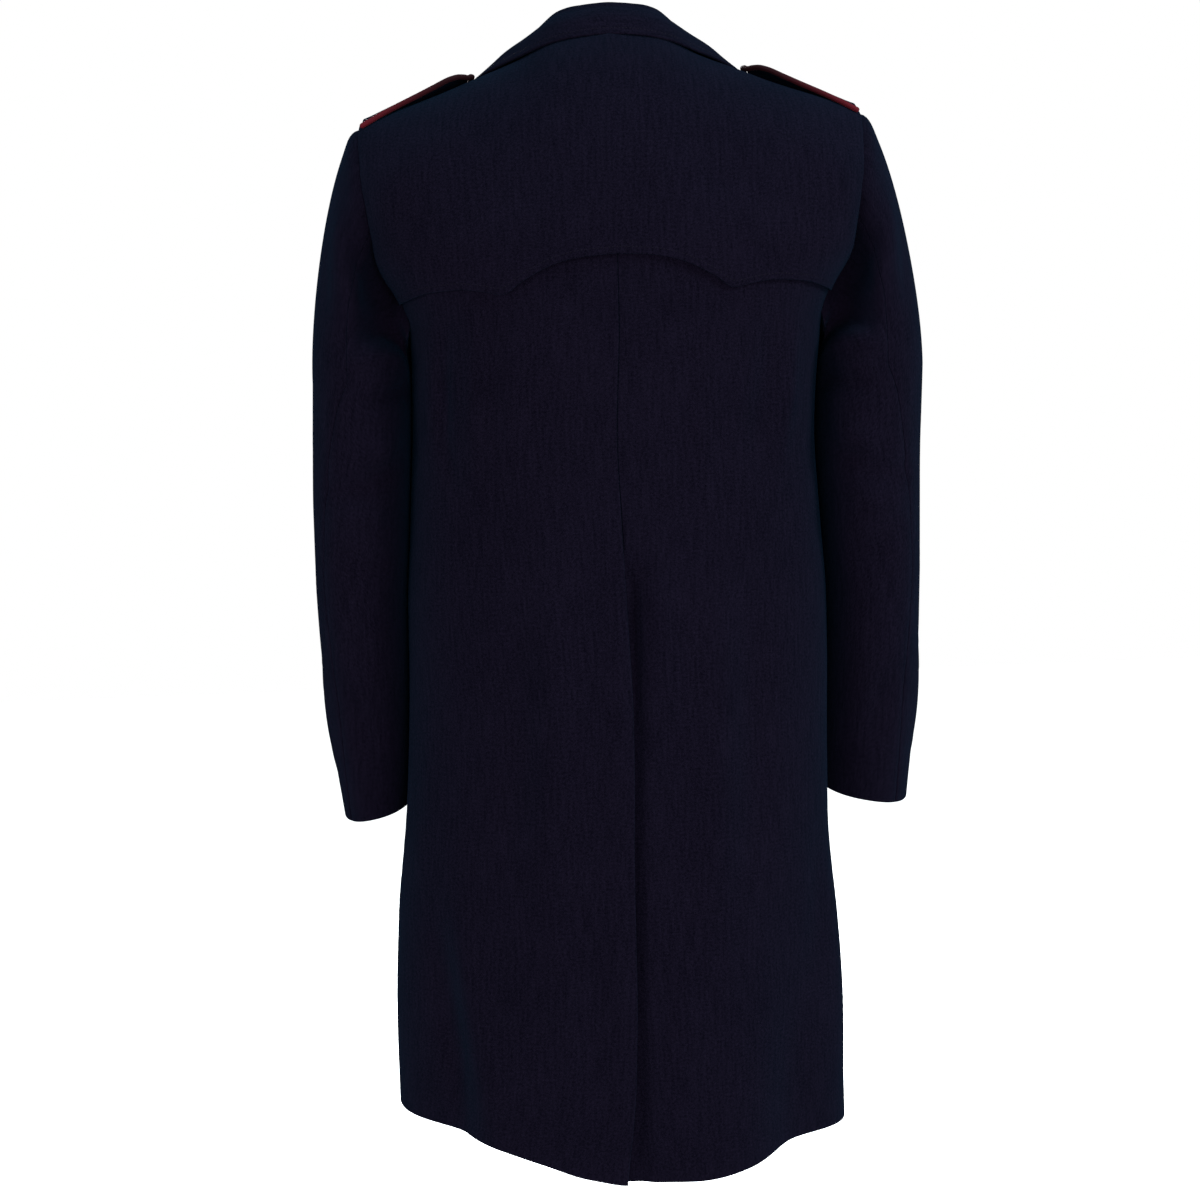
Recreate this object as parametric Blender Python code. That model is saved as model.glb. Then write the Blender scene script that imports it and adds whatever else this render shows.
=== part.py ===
"""A long police overcoat, filled out as if it were worn, with nobody in it.

Metres, +Z up. The coat's front faces -Y and the wearer's left is +X. The origin
is where the wearer's shoulders carry it, midway between the two shoulder seams.
Each piece that a tailor would cut is a closed solid of its own.
"""

import math
from collections import namedtuple
from functools import cache

import bmesh
import bpy
import numpy as np
from mathutils import Vector

# Driving sizes
CLOTH = 0.002  # one layer of the coat's wool
SEAM_GAP = 0.0003  # between two pieces that a seam joins
UNDERARM_Z = -0.250
HEM_Z = -1.013
LEVEL_STEP = 0.30  # height of one level below the underarm
DOME = 2.3  # how squarely the torso rounds over to the shoulder line
NECK_POINT_X = 0.080  # where the shoulder seam meets the collar
NECK_BACK_Z = 0.019  # the neck seam at the centre back
SHOULDER_TIP_X = 0.2298
BUTTON_STAND = 0.030  # each front reaches this far past the centre
VENT_TOP_Z = -0.445
VENT_UNDERLAP = 0.045
HEM_LEVEL = (HEM_Z - UNDERARM_Z) / LEVEL_STEP

# Sections of the torso. Level 0 is the underarm and 1 the shoulder line; below
# the underarm one level is LEVEL_STEP.
Section = namedtuple("Section", "level half_width back front square")
SECTIONS = (
    Section(HEM_LEVEL, 0.2115, 0.153, 0.138, 2.05),
    Section(-2.17, 0.2110, 0.150, 0.135, 2.08),
    Section(-1.83, 0.2080, 0.148, 0.131, 2.10),
    Section(-1.50, 0.2005, 0.144, 0.127, 2.12),
    Section(-1.17, 0.1975, 0.138, 0.123, 2.15),
    Section(-0.83, 0.1968, 0.130, 0.120, 2.20),
    Section(-0.57, 0.1920, 0.126, 0.120, 2.25),
    Section(-0.27, 0.1875, 0.129, 0.124, 2.35),
    Section(0.00, 0.1900, 0.135, 0.127, 2.50),
    Section(0.12, 0.2000, 0.137, 0.126, 2.65),
    Section(0.25, 0.2220, 0.138, 0.124, 2.85),
    Section(0.50, 0.2400, 0.138, 0.122, 3.00),
    Section(1.00, 0.2440, 0.136, 0.118, 3.00),
)

# The shoulder line's height over x, and how far the skirt leans to the wearer's left.
Ridge = namedtuple("Ridge", "x z")
RIDGE = (
    Ridge(0.000, 0.0380),
    Ridge(0.045, 0.0240),
    Ridge(0.080, 0.0015),
    Ridge(0.120, -0.0147),
    Ridge(0.145, -0.0246),
    Ridge(0.170, -0.0334),
    Ridge(0.195, -0.0416),
    Ridge(0.215, -0.0487),
    Ridge(0.2298, -0.0535),
    Ridge(0.260, -0.0637),
)
Lean = namedtuple("Lean", "level x")
LEAN = (
    Lean(HEM_LEVEL, 0.0190),
    Lean(-2.07, 0.0180),
    Lean(-1.60, 0.0160),
    Lean(-1.33, 0.0125),
    Lean(-0.97, 0.0085),
    Lean(-0.70, 0.0076),
    Lean(-0.37, 0.0068),
    Lean(-0.18, 0.0045),
    Lean(0.00, 0.0015),
    Lean(0.30, 0.0000),
)

# How far the hem is lifted, by the angle from the centre back in degrees.
HemLift = namedtuple("HemLift", "angle lift")
HEM_LIFT = (
    HemLift(-180, 0.003),
    HemLift(-120, 0.008),
    HemLift(-90, 0.013),
    HemLift(-62, 0.017),
    HemLift(-40, 0.008),
    HemLift(-22, 0.003),
    HemLift(0, 0.004),
    HemLift(14, 0.010),
    HemLift(28, 0.023),
    HemLift(45, 0.037),
    HemLift(62, 0.042),
    HemLift(90, 0.045),
    HemLift(130, 0.022),
    HemLift(180, 0.003),
)
HEM_LIFT_FROM = -1.4  # the level where the lift starts

# The skirt's largest folds, at the hem: where each lies, how wide and how deep it
# is, and the level where it starts.
Fold = namedtuple("Fold", "angle width depth start")
FOLDS = (
    Fold(angle=-61, width=13, depth=-0.015, start=-1.35),
    Fold(angle=-78, width=12, depth=0.004, start=-1.5),
    Fold(angle=-31, width=15, depth=0.007, start=-0.8),
    Fold(angle=-8, width=10, depth=-0.003, start=-1.2),
    Fold(angle=41, width=12, depth=0.007, start=-1.5),
    Fold(angle=60, width=12, depth=-0.009, start=-1.5),
    Fold(angle=83, width=14, depth=0.003, start=-1.5),
    Fold(angle=112, width=18, depth=-0.006, start=-1.1),
    Fold(angle=138, width=18, depth=0.008, start=-0.9),
    Fold(angle=-112, width=18, depth=-0.006, start=-1.2),
    Fold(angle=-136, width=18, depth=0.008, start=-0.9),
)

# The armhole's edge as seen from behind and from the front, underarm to shoulder tip.
Armhole = namedtuple("Armhole", "x z")
ARMHOLE_BACK = (
    Armhole(0.1890, -0.2370),
    Armhole(0.1965, -0.2165),
    Armhole(0.2075, -0.1960),
    Armhole(0.2195, -0.1520),
    Armhole(0.2238, -0.1190),
    Armhole(0.2265, -0.0920),
    Armhole(0.2285, -0.0700),
)
ARMHOLE_FRONT = (
    Armhole(0.1870, -0.2420),
    Armhole(0.1890, -0.2240),
    Armhole(0.1950, -0.1960),
    Armhole(0.2040, -0.1640),
    Armhole(0.2140, -0.1280),
    Armhole(0.2220, -0.0960),
    Armhole(0.2272, -0.0700),
)
TIP_STEPS = 1  # rows between the last armhole entry and the shoulder tip
SHOULDER_STEPS = 5
SKIRT_STEPS = 13
BACK_START_AT_TIP = 0.60  # the centre back's level in line with the shoulder tip

# The flap's lower edge: three arches with a point between each two.
Scallop = namedtuple("Scallop", "x z")
SCALLOPS = (
    Scallop(0.0000, -0.1835),
    Scallop(0.0300, -0.1855),
    Scallop(0.0530, -0.1900),
    Scallop(0.0700, -0.1970),
    Scallop(0.0860, -0.2060),
    Scallop(0.1010, -0.2150),
    Scallop(0.1200, -0.2110),
    Scallop(0.1400, -0.2085),
    Scallop(0.1620, -0.2090),
    Scallop(0.1965, -0.2165),
)
FLAP_HOLE_ROW = 2  # the armhole entry where the flap's edge meets the sleeve
FLAP_GAP_TOP = 0.0009
FLAP_GAP_EDGE = 0.0030
FLAP_NECK_GAP = 0.0022  # it stops this far short of the collar
POINT_SHARE = 0.49  # the share of the half width where the points lie
COLUMNS_TO_POINT = 6
COLUMNS_PAST_POINT = 6

# The line where the lapel rolls open, from the break point to the neck, and how wide the
# lapel is along it.
Roll = namedtuple("Roll", "x z")
ROLL_LINE = (
    Roll(-0.030, -0.2500),
    Roll(0.008, -0.1680),
    Roll(0.042, -0.0880),
    Roll(0.066, -0.0300),
    Roll(0.0765, -0.0040),
)
FRONT_COLUMNS = 9  # from the side to the lapel's edge
LAPEL_COLUMNS = 4
LAPEL_LAST_ROW = 20
Lapel = namedtuple("Lapel", "row share")  # the share of the front that the lapel covers
LAPEL = (
    Lapel(0, 0.20),
    Lapel(9, 0.20),
    Lapel(13, 0.05),
    Lapel(14, 0.13),
    Lapel(16, 0.30),
    Lapel(18, 0.43),
    Lapel(20, 0.52),
    Lapel(21, 0.44),
    Lapel(26, 0.40),
)
LAPEL_GAP = 0.0008
LAPEL_SWELL = 0.0030
LAPEL_SWELL_ROWS = (16.5, 19.0)
ROLL_REACH = 0.0026  # how far the rolled edge stands past the front's own edge
# Across the lapel, from its edge to the roll and round it: the share of its width, how far it
# stands out and reaches past the front, and how much it faces out.
Fall = namedtuple("Fall", "share drop reach facing")
LAPEL_FALL = (
    Fall(0.00, 0.0, 0.00, 1.00),
    Fall(0.25, 0.0, 0.00, 1.00),
    Fall(0.50, 0.0, 0.00, 1.00),
    Fall(0.75, 0.0, 0.00, 1.00),
    Fall(1.00, 0.0, 0.60, 0.75),
    Fall(1.00, 0.0016, 0.95, 0.10),
    Fall(1.00, 0.0028, 0.35, -0.30),
)

# How far the left front and the left back stand off where they lie over the right ones.
Lift = namedtuple("Lift", "level lift")
FRONT_LIFT = (
    Lift(HEM_LEVEL, 0.0028),
    Lift(-0.40, 0.0030),
    Lift(-0.12, 0.0056),
    Lift(0.20, 0.0056),
    Lift(0.45, 0.0015),
    Lift(0.70, 0.0),
)
FRONT_LIFT_FROM = math.radians(140)
FRONT_LIFT_FULL = math.radians(166)
VENT_LIFT = 0.0030
VENT_LIFT_OUT_TO = math.radians(42)
VENT_LIFT_FULL_TO = math.radians(24)
VENT_LIFT_RISE = 0.07  # height over which the left back lifts, above the vent

# The left back's free edge at the vent, seen from behind, from the middle of the coat.
VentEdge = namedtuple("VentEdge", "z x")
VENT_EDGE = (
    VentEdge(-1.010, 0.0010),
    VentEdge(-0.920, -0.0090),
    VentEdge(-0.820, -0.0120),
    VentEdge(-0.650, -0.0110),
    VentEdge(-0.600, -0.0100),
    VentEdge(-0.510, -0.0060),
    VentEdge(-0.440, -0.0035),
    VentEdge(-0.340, 0.0),
)

# The sleeve's rings below the armhole: the outer side, the middle and half depth from back
# to front, and how far the ring drops towards the back and towards the outer side.
Ring = namedtuple("Ring", "z outer middle half_depth dip tilt")
RINGS = (
    Ring(-0.285, 0.2835, 0.001, 0.074, 0.00, 0.00),
    Ring(-0.335, 0.2840, -0.001, 0.072, 0.00, 0.00),
    Ring(-0.395, 0.2850, -0.005, 0.069, 0.02, 0.00),
    Ring(-0.455, 0.2855, -0.010, 0.066, 0.03, 0.03),
    Ring(-0.515, 0.2845, -0.017, 0.063, 0.05, 0.06),
    Ring(-0.575, 0.2815, -0.026, 0.060, 0.08, 0.10),
    Ring(-0.635, 0.2775, -0.036, 0.057, 0.11, 0.15),
    Ring(-0.690, 0.2725, -0.045, 0.054, 0.14, 0.20),
)
SLEEVE_CLEARANCE = 0.0012  # between the sleeve and the body beside it
RING_SQUARE = 2.3
CAP_STEPS = 6
ARM_STEPS = 12
Seam = namedtuple("Seam", "z back front")
SLEEVE_SEAMS = (
    Seam(-0.285, 84, 246),
    Seam(-0.313, 75, 246),
    Seam(-0.373, 65, 246),
    Seam(-0.423, 60, 245),
    Seam(-0.473, 57, 244),
    Seam(-0.516, 59, 243),
    Seam(-0.600, 61, 241),
    Seam(-0.690, 58, 240),
)
SleeveLean = namedtuple("SleeveLean", "z x")
SLEEVE_LEAN = (
    SleeveLean(-0.72, 0.0045),
    SleeveLean(-0.50, 0.0058),
    SleeveLean(-0.40, 0.0048),
    SleeveLean(-0.285, 0.0),
)
SLEEVE_BACK_SEAM_ROW = 4  # the armhole row where the back seam of the sleeve starts
SLEEVE_FRONT_SEAM_ROW = 3
CAP_OUT_TOP = (0.070, 0.0, -0.020)  # how the sleeve leaves the armhole, at its top
CAP_OUT_SIDE = (0.070, 0.012, -0.110)  # at its back and front
CAP_OUT_UNDER = (0.020, 0.0, -0.060)  # and at the underarm
CAP_DROP = 0.26  # how straight down the cap comes into the arm

# The collar, from the centre back (turn 0) to its front end (turn 1).
Collar = namedtuple("Collar", "turn stand lean_in clearance")
COLLAR = (
    Collar(turn=0.00, stand=0.0250, lean_in=0.0125, clearance=0.0052),
    Collar(turn=0.25, stand=0.0240, lean_in=0.0115, clearance=0.0050),
    Collar(turn=0.50, stand=0.0190, lean_in=0.0095, clearance=0.0050),
    Collar(turn=0.75, stand=0.0125, lean_in=0.0060, clearance=0.0052),
    Collar(turn=1.00, stand=0.0070, lean_in=0.0020, clearance=0.0052),
)
CollarEdge = namedtuple("CollarEdge", "turn x z side")
COLLAR_EDGE = (
    CollarEdge(0.00, 0.0000, 0.0125, "back"),
    CollarEdge(0.16, 0.0385, 0.0085, "back"),
    CollarEdge(0.28, 0.0640, 0.0025, "back"),
    CollarEdge(0.40, 0.0900, -0.0045, "back"),
    CollarEdge(0.50, 0.1120, -0.0075, "back"),
    CollarEdge(0.62, 0.1270, -0.0190, "front"),
    CollarEdge(0.80, 0.1350, -0.0400, "front"),
    CollarEdge(1.00, 0.1380, -0.0640, "front"),
)
COLLAR_STATIONS = 11  # for each half
COLLAR_WALL = 0.0024
COLLAR_ROLL = 0.0032  # radius of its rolled top
COLLAR_SWELL = 0.0030  # how far its fall bows out
COLLAR_RISE = (0.0006, 0.0008)  # its foot's height over the neck seam, and how much more in front
COLLAR_END_ALONG = 0.60  # where on the roll line its front end comes down

# The shoulder straps, from the sleeve seam to the tip by the collar: how far the back edge, the
# middle and the front edge stand over the shoulder line.
Strap = namedtuple("Strap", "x half_width back middle front")
STRAP = (
    Strap(0.2262, 0.0260, 0.0002, 0.0048, -0.0080),
    Strap(0.2200, 0.0258, 0.0013, 0.0052, -0.0055),
    Strap(0.2100, 0.0255, 0.0031, 0.0060, -0.0030),
    Strap(0.2000, 0.0250, 0.0043, 0.0068, -0.0012),
    Strap(0.1800, 0.0240, 0.0068, 0.0082, 0.0012),
    Strap(0.1600, 0.0228, 0.0094, 0.0095, 0.0024),
    Strap(0.1450, 0.0213, 0.0110, 0.0100, 0.0031),
    Strap(0.1390, 0.0185, 0.0108, 0.0098, 0.0040),
    Strap(0.1345, 0.0145, 0.0098, 0.0092, 0.0052),
    Strap(0.1310, 0.0100, 0.0088, 0.0086, 0.0064),
    Strap(0.1285, 0.0046, 0.0080, 0.0080, 0.0072),
)
STRAP_WALL = 0.0028
STRAP_ROWS = 12
STRAP_COLUMNS = 4
PIPING_RADIUS = 0.0024
PIPING_GAP = 0.0004

# The buttons, turned from a profile of radius and height.
Turn = namedtuple("Turn", "radius height")
FRONT_BUTTON_RADIUS = 0.0115
STRAP_BUTTON_RADIUS = 0.0080
BUTTON_PROFILE = (  # shares of the button's radius
    Turn(0.24, 0.00),
    Turn(0.24, 0.13),
    Turn(0.93, 0.15),
    Turn(1.00, 0.22),
    Turn(0.95, 0.30),
    Turn(0.70, 0.40),
    Turn(0.36, 0.465),
)
BUTTON_TOP = 0.48
BUTTON_STEPS = 18
BUTTON_LEVELS = (-0.085, -0.45, -0.815, -1.18)
STRAP_BUTTON_X = 0.1440
BUTTON_SEAT = 0.0003

Finish = namedtuple("Finish", "name colour roughness metallic")
WOOL = Finish("navy_wool", (0.0070, 0.0062, 0.0130), 0.88, 0.0)
RED_CLOTH = Finish("red_piping", (0.180, 0.010, 0.018), 0.70, 0.0)
METAL = Finish("button_metal", (0.55, 0.55, 0.56), 0.32, 1.0)


def smooth_curve(xs, ys):
    """A curve through the points (xs, ys) with no overshoot, as a function of arrays."""
    xs, ys = np.asarray(xs, float), np.asarray(ys, float)
    steps = np.diff(xs)
    rates = np.diff(ys) / steps
    slopes = np.zeros_like(ys)
    slopes[0], slopes[-1] = rates[0], rates[-1]
    for i in range(1, len(xs) - 1):
        if rates[i - 1] * rates[i] > 0:
            before, after = 2 * steps[i] + steps[i - 1], steps[i] + 2 * steps[i - 1]
            slopes[i] = (before + after) / (before / rates[i - 1] + after / rates[i])

    def value(x):
        x = np.clip(np.asarray(x, float), xs[0], xs[-1])
        i = np.clip(np.searchsorted(xs, x, side="right") - 1, 0, len(xs) - 2)
        t = (x - xs[i]) / steps[i]
        return (
            ys[i] * (2 * t**3 - 3 * t**2 + 1)
            + slopes[i] * steps[i] * (t**3 - 2 * t**2 + t)
            + ys[i + 1] * (3 * t**2 - 2 * t**3)
            + slopes[i + 1] * steps[i] * (t**3 - t**2)
        )

    return value


def column(rows, key, name):
    """The curve of one named column of a table over another."""
    return smooth_curve([getattr(row, key) for row in rows], [getattr(row, name) for row in rows])


def smoothstep(low, high, x):
    """0 below low, 1 above high, and smooth between."""
    t = np.clip((x - low) / (high - low), 0, 1)
    return t * t * (3 - 2 * t)


SECTION = {name: column(SECTIONS, "level", name) for name in ("half_width", "back", "front", "square")}
ridge_z = column(RIDGE, "x", "z")
lean_x = column(LEAN, "level", "x")
hem_lift = column(HEM_LIFT, "angle", "lift")
scallop_z = column(SCALLOPS, "x", "z")
vent_edge_x = column(VENT_EDGE, "z", "x")
front_lift_at = column(FRONT_LIFT, "level", "lift")


def fold_depth(angle, level):
    """How far the skirt's folds stand out at an angle and level."""
    degrees = (np.degrees(angle) + 180) % 360 - 180
    depth = np.zeros(np.broadcast(angle, level).shape)
    for fold in FOLDS:
        away = (degrees - fold.angle + 180) % 360 - 180
        grow = smoothstep(fold.start, HEM_LEVEL, level)
        depth = depth + fold.depth * grow * np.exp(-((away / fold.width) ** 2))
    return depth


def radius_at(angle, level):
    """The section's radius at an angle from the centre back."""
    back_or_front = np.where(np.cos(angle) > 0, SECTION["back"](level), SECTION["front"](level))
    square = SECTION["square"](level)
    across = np.abs(np.sin(angle) / SECTION["half_width"](level)) ** square
    along = np.abs(np.cos(angle) / back_or_front) ** square
    return (across + along) ** (-1 / square) + fold_depth(angle, level)


def torso(angle, level):
    """Points of the coat's outer surface. The angle runs from the centre back to the left."""
    angle, level = np.broadcast_arrays(np.asarray(angle, float), np.asarray(level, float))
    radius = radius_at(angle, level)
    over = np.clip(level, 0, 1) * math.pi / 2
    dome = (np.sin(over) ** DOME + np.cos(over) ** DOME) ** (-1 / DOME)
    x = radius * np.sin(angle)
    y = radius * np.cos(angle) * dome * np.cos(over)
    degrees = (np.degrees(angle) + 180) % 360 - 180
    lift = hem_lift(degrees) * smoothstep(HEM_LIFT_FROM, HEM_LEVEL, level)
    low = UNDERARM_Z + np.minimum(level, 0) * LEVEL_STEP + lift
    z = low + (ridge_z(np.abs(x)) - UNDERARM_Z) * dome * np.sin(over)
    return np.stack([x + lean_x(level), y, z], axis=-1)


def unit(vectors):
    """Vectors of length 1."""
    return vectors / np.linalg.norm(vectors, axis=-1, keepdims=True)


def torso_normal(angle, level):
    """The outward normals of the coat's surface."""
    small = 1e-3
    angle, level = np.broadcast_arrays(np.asarray(angle, float), np.asarray(level, float))
    round_it = torso(angle + small, level) - torso(angle - small, level)
    up = torso(angle, np.minimum(level + small, 1)) - torso(angle, level - small)
    return unit(np.cross(up, round_it))


def level_of(x, z):
    """The level of the point at x and z, on the back or the front."""
    share = np.clip((z - UNDERARM_Z) / (ridge_z(np.abs(x)) - UNDERARM_Z), 0, 1 - 1e-9) ** DOME
    above = np.arctan((share / (1 - share)) ** (1 / DOME)) / (math.pi / 2)
    return np.where(z > UNDERARM_Z, above, (z - UNDERARM_Z) / LEVEL_STEP)


def angle_of(x, level, side="back"):
    """The angle on the back or the front where the surface at this level has this x."""
    x, level = np.broadcast_arrays(np.asarray(x, float), np.asarray(level, float))
    low = np.full(x.shape, -math.pi / 2)
    high = np.full(x.shape, math.pi / 2)
    for _ in range(34):
        middle = (low + high) / 2
        turned = middle if side == "back" else math.pi - middle
        past = torso(turned, level)[..., 0] > x
        high = np.where(past, middle, high)
        low = np.where(past, low, middle)
    middle = (low + high) / 2
    return middle if side == "back" else math.pi - middle


def spread(first, last, steps):
    """Evenly spaced values without the last one."""
    return list(np.linspace(first, last, steps, endpoint=False))


@cache
def edge_rows(side):
    """Angles and levels of a panel's outer edge: side seam, armhole and shoulder seam."""
    armhole = ARMHOLE_BACK if side == "back" else ARMHOLE_FRONT
    quarter = math.pi / 2
    levels = spread(HEM_LEVEL, 0, SKIRT_STEPS)
    angles = [quarter] * len(levels)
    hole_levels = [0.0] + [float(level_of(p.x, p.z)) for p in armhole]
    hole_angles = [quarter] + [float(angle_of(p.x, level_of(p.x, p.z), side)) for p in armhole]
    levels += hole_levels
    angles += hole_angles
    shoulder = angle_of(np.linspace(SHOULDER_TIP_X, NECK_POINT_X, SHOULDER_STEPS + 1), 1.0, side)
    levels += [1.0] * len(shoulder)
    angles += list(shoulder)
    return np.array(angles), np.array(levels)


TIP_ROW = SKIRT_STEPS + len(ARMHOLE_BACK) + TIP_STEPS
LAST_ROW = TIP_ROW + SHOULDER_STEPS
HOLE_ROWS = slice(SKIRT_STEPS, TIP_ROW + 1)
NECK_BACK_LEVEL = float(level_of(0.0, NECK_BACK_Z))


def back_starts():
    """The centre back's level in each row of the back."""
    skirt = spread(HEM_LEVEL, 0, SKIRT_STEPS)
    hole = spread(0, BACK_START_AT_TIP, len(ARMHOLE_BACK) + TIP_STEPS)
    shoulder = list(np.linspace(BACK_START_AT_TIP, NECK_BACK_LEVEL, SHOULDER_STEPS + 1))
    return np.array(skirt + hole + shoulder)


def half_columns():
    """Shares of the half width, closer where the flap's arches need them."""
    past = np.linspace(POINT_SHARE, 1, COLUMNS_PAST_POINT + 1)
    return np.array(spread(0, POINT_SHARE, COLUMNS_TO_POINT) + list(past))


def back_grid(shares, rows, side="left"):
    """Angles and levels of the left half of the back at given shares and row numbers."""
    index = np.arange(LAST_ROW + 1)
    edge_angles, edge_levels = edge_rows("back")
    known = (back_starts(), edge_angles, edge_levels)
    start, angle, level = (smooth_curve(index, values)(rows) for values in known)
    first = first_angle(side, start)
    angles = first + (angle - first) * shares
    levels = start + (level - start) * shares**2
    return angles, levels


def first_angle(side, level):
    """The angle where a half of the back starts: at the centre seam, or at the vent's edge."""
    z = UNDERARM_Z + np.minimum(level, 0) * LEVEL_STEP
    x = lean_x(level) + vent_edge_x(z)
    if side == "right":
        under = 1 - smoothstep(VENT_TOP_Z - 0.03, VENT_TOP_Z, z)
        x = lean_x(level) - vent_edge_x(z) * (1 - under) - VENT_UNDERLAP * under
    return np.where(level < 0, angle_of(x, level), 0.0)


def flap_row(shares):
    """The row number, at each share of the half width, where the flap's edge lies."""
    low = np.full(np.shape(shares), float(SKIRT_STEPS - 3))
    high = np.full(np.shape(shares), float(TIP_ROW))
    for _ in range(26):
        middle = (low + high) / 2
        points = torso(*back_grid(shares, middle))
        above = points[..., 2] > scallop_z(points[..., 0])
        high = np.where(above, middle, high)
        low = np.where(above, low, middle)
    return np.where(shares > 0.9999, SKIRT_STEPS + FLAP_HOLE_ROW, (low + high) / 2)


def back_rows(shares):
    """The row numbers of the back's grid, with one row along the flap's edge."""
    flap = SKIRT_STEPS + FLAP_HOLE_ROW
    edge = flap_row(shares)
    index = np.arange(LAST_ROW + 1)[:, None]
    below = edge * index / flap
    above = edge + (LAST_ROW - edge) * (index - flap) / (LAST_ROW - flap)
    return np.where(index < flap, below, above)


def move_in(points, edges, distance=SEAM_GAP / 2):
    """Draws the named edges of a grid in, by half a seam's gap unless told otherwise."""
    moved = points.copy()
    for edge in edges:
        line, inner = {
            "first_row": (np.s_[0, :], np.s_[1, :]),
            "last_row": (np.s_[-1, :], np.s_[-2, :]),
            "first_column": (np.s_[:, 0], np.s_[:, 1]),
            "last_column": (np.s_[:, -1], np.s_[:, -2]),
        }[edge]
        moved[line] += unit(points[inner] - points[line]) * distance
    return moved


def new_material(finish):
    """A Principled material with a finish's colour, roughness and metallic value."""
    found = bpy.data.materials.get(finish.name)
    if found:
        return found
    material = bpy.data.materials.new(finish.name)
    material.use_nodes = True
    shader = material.node_tree.nodes["Principled BSDF"]
    shader.inputs["Base Color"].default_value = (*finish.colour, 1.0)
    shader.inputs["Roughness"].default_value = finish.roughness
    shader.inputs["Metallic"].default_value = finish.metallic
    return material


def add_object(name, work, finish):
    """Makes an object of a bmesh, facing out and shaded smooth up to sharp edges."""
    bmesh.ops.recalc_face_normals(work, faces=work.faces)
    mesh = bpy.data.meshes.new(name)
    work.to_mesh(mesh)
    work.free()
    mesh.shade_smooth()
    mesh.set_sharp_from_angle(angle=math.radians(40))
    mesh.materials.append(new_material(finish))
    piece = bpy.data.objects.new(name, mesh)
    bpy.context.scene.collection.objects.link(piece)
    return piece


def closed_wall(name, outer, inner, finish=WOOL, mirrored_columns=0):
    """A closed wall between two grids of points of the same shape.

    Each cell is cut from its first corner to its last. Cells in the first
    mirrored_columns are cut the other way, so that two halves match.
    """
    work = bmesh.new()
    rows, columns = outer.shape[:2]
    faces = [[work.verts.new(p) for p in grid.reshape(-1, 3)] for grid in (outer, inner)]
    for side in faces:
        for r in range(rows - 1):
            for c in range(columns - 1):
                corner = r * columns + c
                a, b, d, e = (side[corner + k] for k in (0, 1, columns, columns + 1))
                cut = ((b, a, d), (b, d, e)) if c < mirrored_columns else ((a, b, e), (a, e, d))
                for triangle in cut:
                    work.faces.new(triangle)
    top, bottom = faces
    rim = [c for c in range(columns)]
    rim += [r * columns + columns - 1 for r in range(1, rows)]
    rim += [(rows - 1) * columns + c for c in range(columns - 2, -1, -1)]
    rim += [r * columns for r in range(rows - 2, 0, -1)]
    for pair in zip(rim, rim[1:] + rim[:1]):
        a, b = min(pair), max(pair)
        work.faces.new((top[a], top[b], bottom[b]))
        work.faces.new((top[a], bottom[b], bottom[a]))
    return add_object(name, work, finish)


def wall_from(name, points, normals, thickness=CLOTH, out=0.0, edges=(), finish=WOOL):
    """A wall whose outer face lies out beyond the points, along their normals."""
    outer = move_in(points + normals * out, edges)
    inner = move_in(points + normals * (out - thickness), edges)
    return closed_wall(name, outer, inner, finish)


def mirrored(points):
    """Points on the other side of the coat's middle plane."""
    return points * np.array([-1.0, 1.0, 1.0])


def side_rows(grid, side):
    """Turns a left half's angles to the side asked for."""
    return grid if side == "left" else -grid


def vent_lift(angle, z):
    """How far the left back stands off the right one, round the vent."""
    fade = 1 - smoothstep(VENT_LIFT_FULL_TO, VENT_LIFT_OUT_TO, np.abs(angle))
    return VENT_LIFT * fade * (1 - smoothstep(VENT_TOP_Z, VENT_TOP_Z + VENT_LIFT_RISE, z))


def back_surface(side):
    """Points and normals of one half of the back, a row for each level of its grid."""
    shares = half_columns()[None, :]
    angles, levels = back_grid(shares, back_rows(shares), side)
    angles = side_rows(angles, side)
    points, normals = torso(angles, levels), torso_normal(angles, levels)
    if side == "left":
        points = points + normals * vent_lift(angles, points[..., 2])[..., None]
    return points, normals


def build_back(side, hole_normals):
    """One half of the back, from the centre seam and vent to the side, armhole and shoulder."""
    points, normals = back_surface(side)
    normals[HOLE_ROWS, -1] = hole_normals
    wall_from(f"back_{side}", points, normals, edges=("first_column", "last_column"))


def build_flap(hole_normals):
    """The storm flap that hangs over the upper back, with three arches along its edge."""
    flap = SKIRT_STEPS + FLAP_HOLE_ROW
    halves = [back_surface(side) for side in ("right", "left")]
    for (points, normals), edge_normals in zip(halves, hole_normals):
        normals[HOLE_ROWS, -1] = edge_normals
    points, normals = (
        np.concatenate([right[flap:, :0:-1], left[flap:]], axis=1) for right, left in zip(*halves)
    )
    shares = np.concatenate([-half_columns()[:0:-1], half_columns()])[None, :]
    down = np.linspace(0, 1, len(points))[:, None]
    gap = FLAP_GAP_EDGE + (FLAP_GAP_TOP - FLAP_GAP_EDGE) * smoothstep(0, 0.6, down)
    inside = 1 - smoothstep(0.90, 1.0, np.abs(shares))
    gap = (FLAP_GAP_TOP + (gap - FLAP_GAP_TOP) * inside)[..., None]
    edges = ("first_column", "last_column")
    outer = move_in(move_in(points + normals * (gap + CLOTH), edges), ("last_row",), FLAP_NECK_GAP)
    inner = move_in(move_in(points + normals * gap, edges), ("last_row",), FLAP_NECK_GAP)
    closed_wall("back_flap", outer, inner, mirrored_columns=len(half_columns()) - 1)


def front_lift(angle, level):
    """How far the left front stands off the right one, round the closure."""
    return front_lift_at(level) * smoothstep(FRONT_LIFT_FROM, FRONT_LIFT_FULL, angle)


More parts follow.
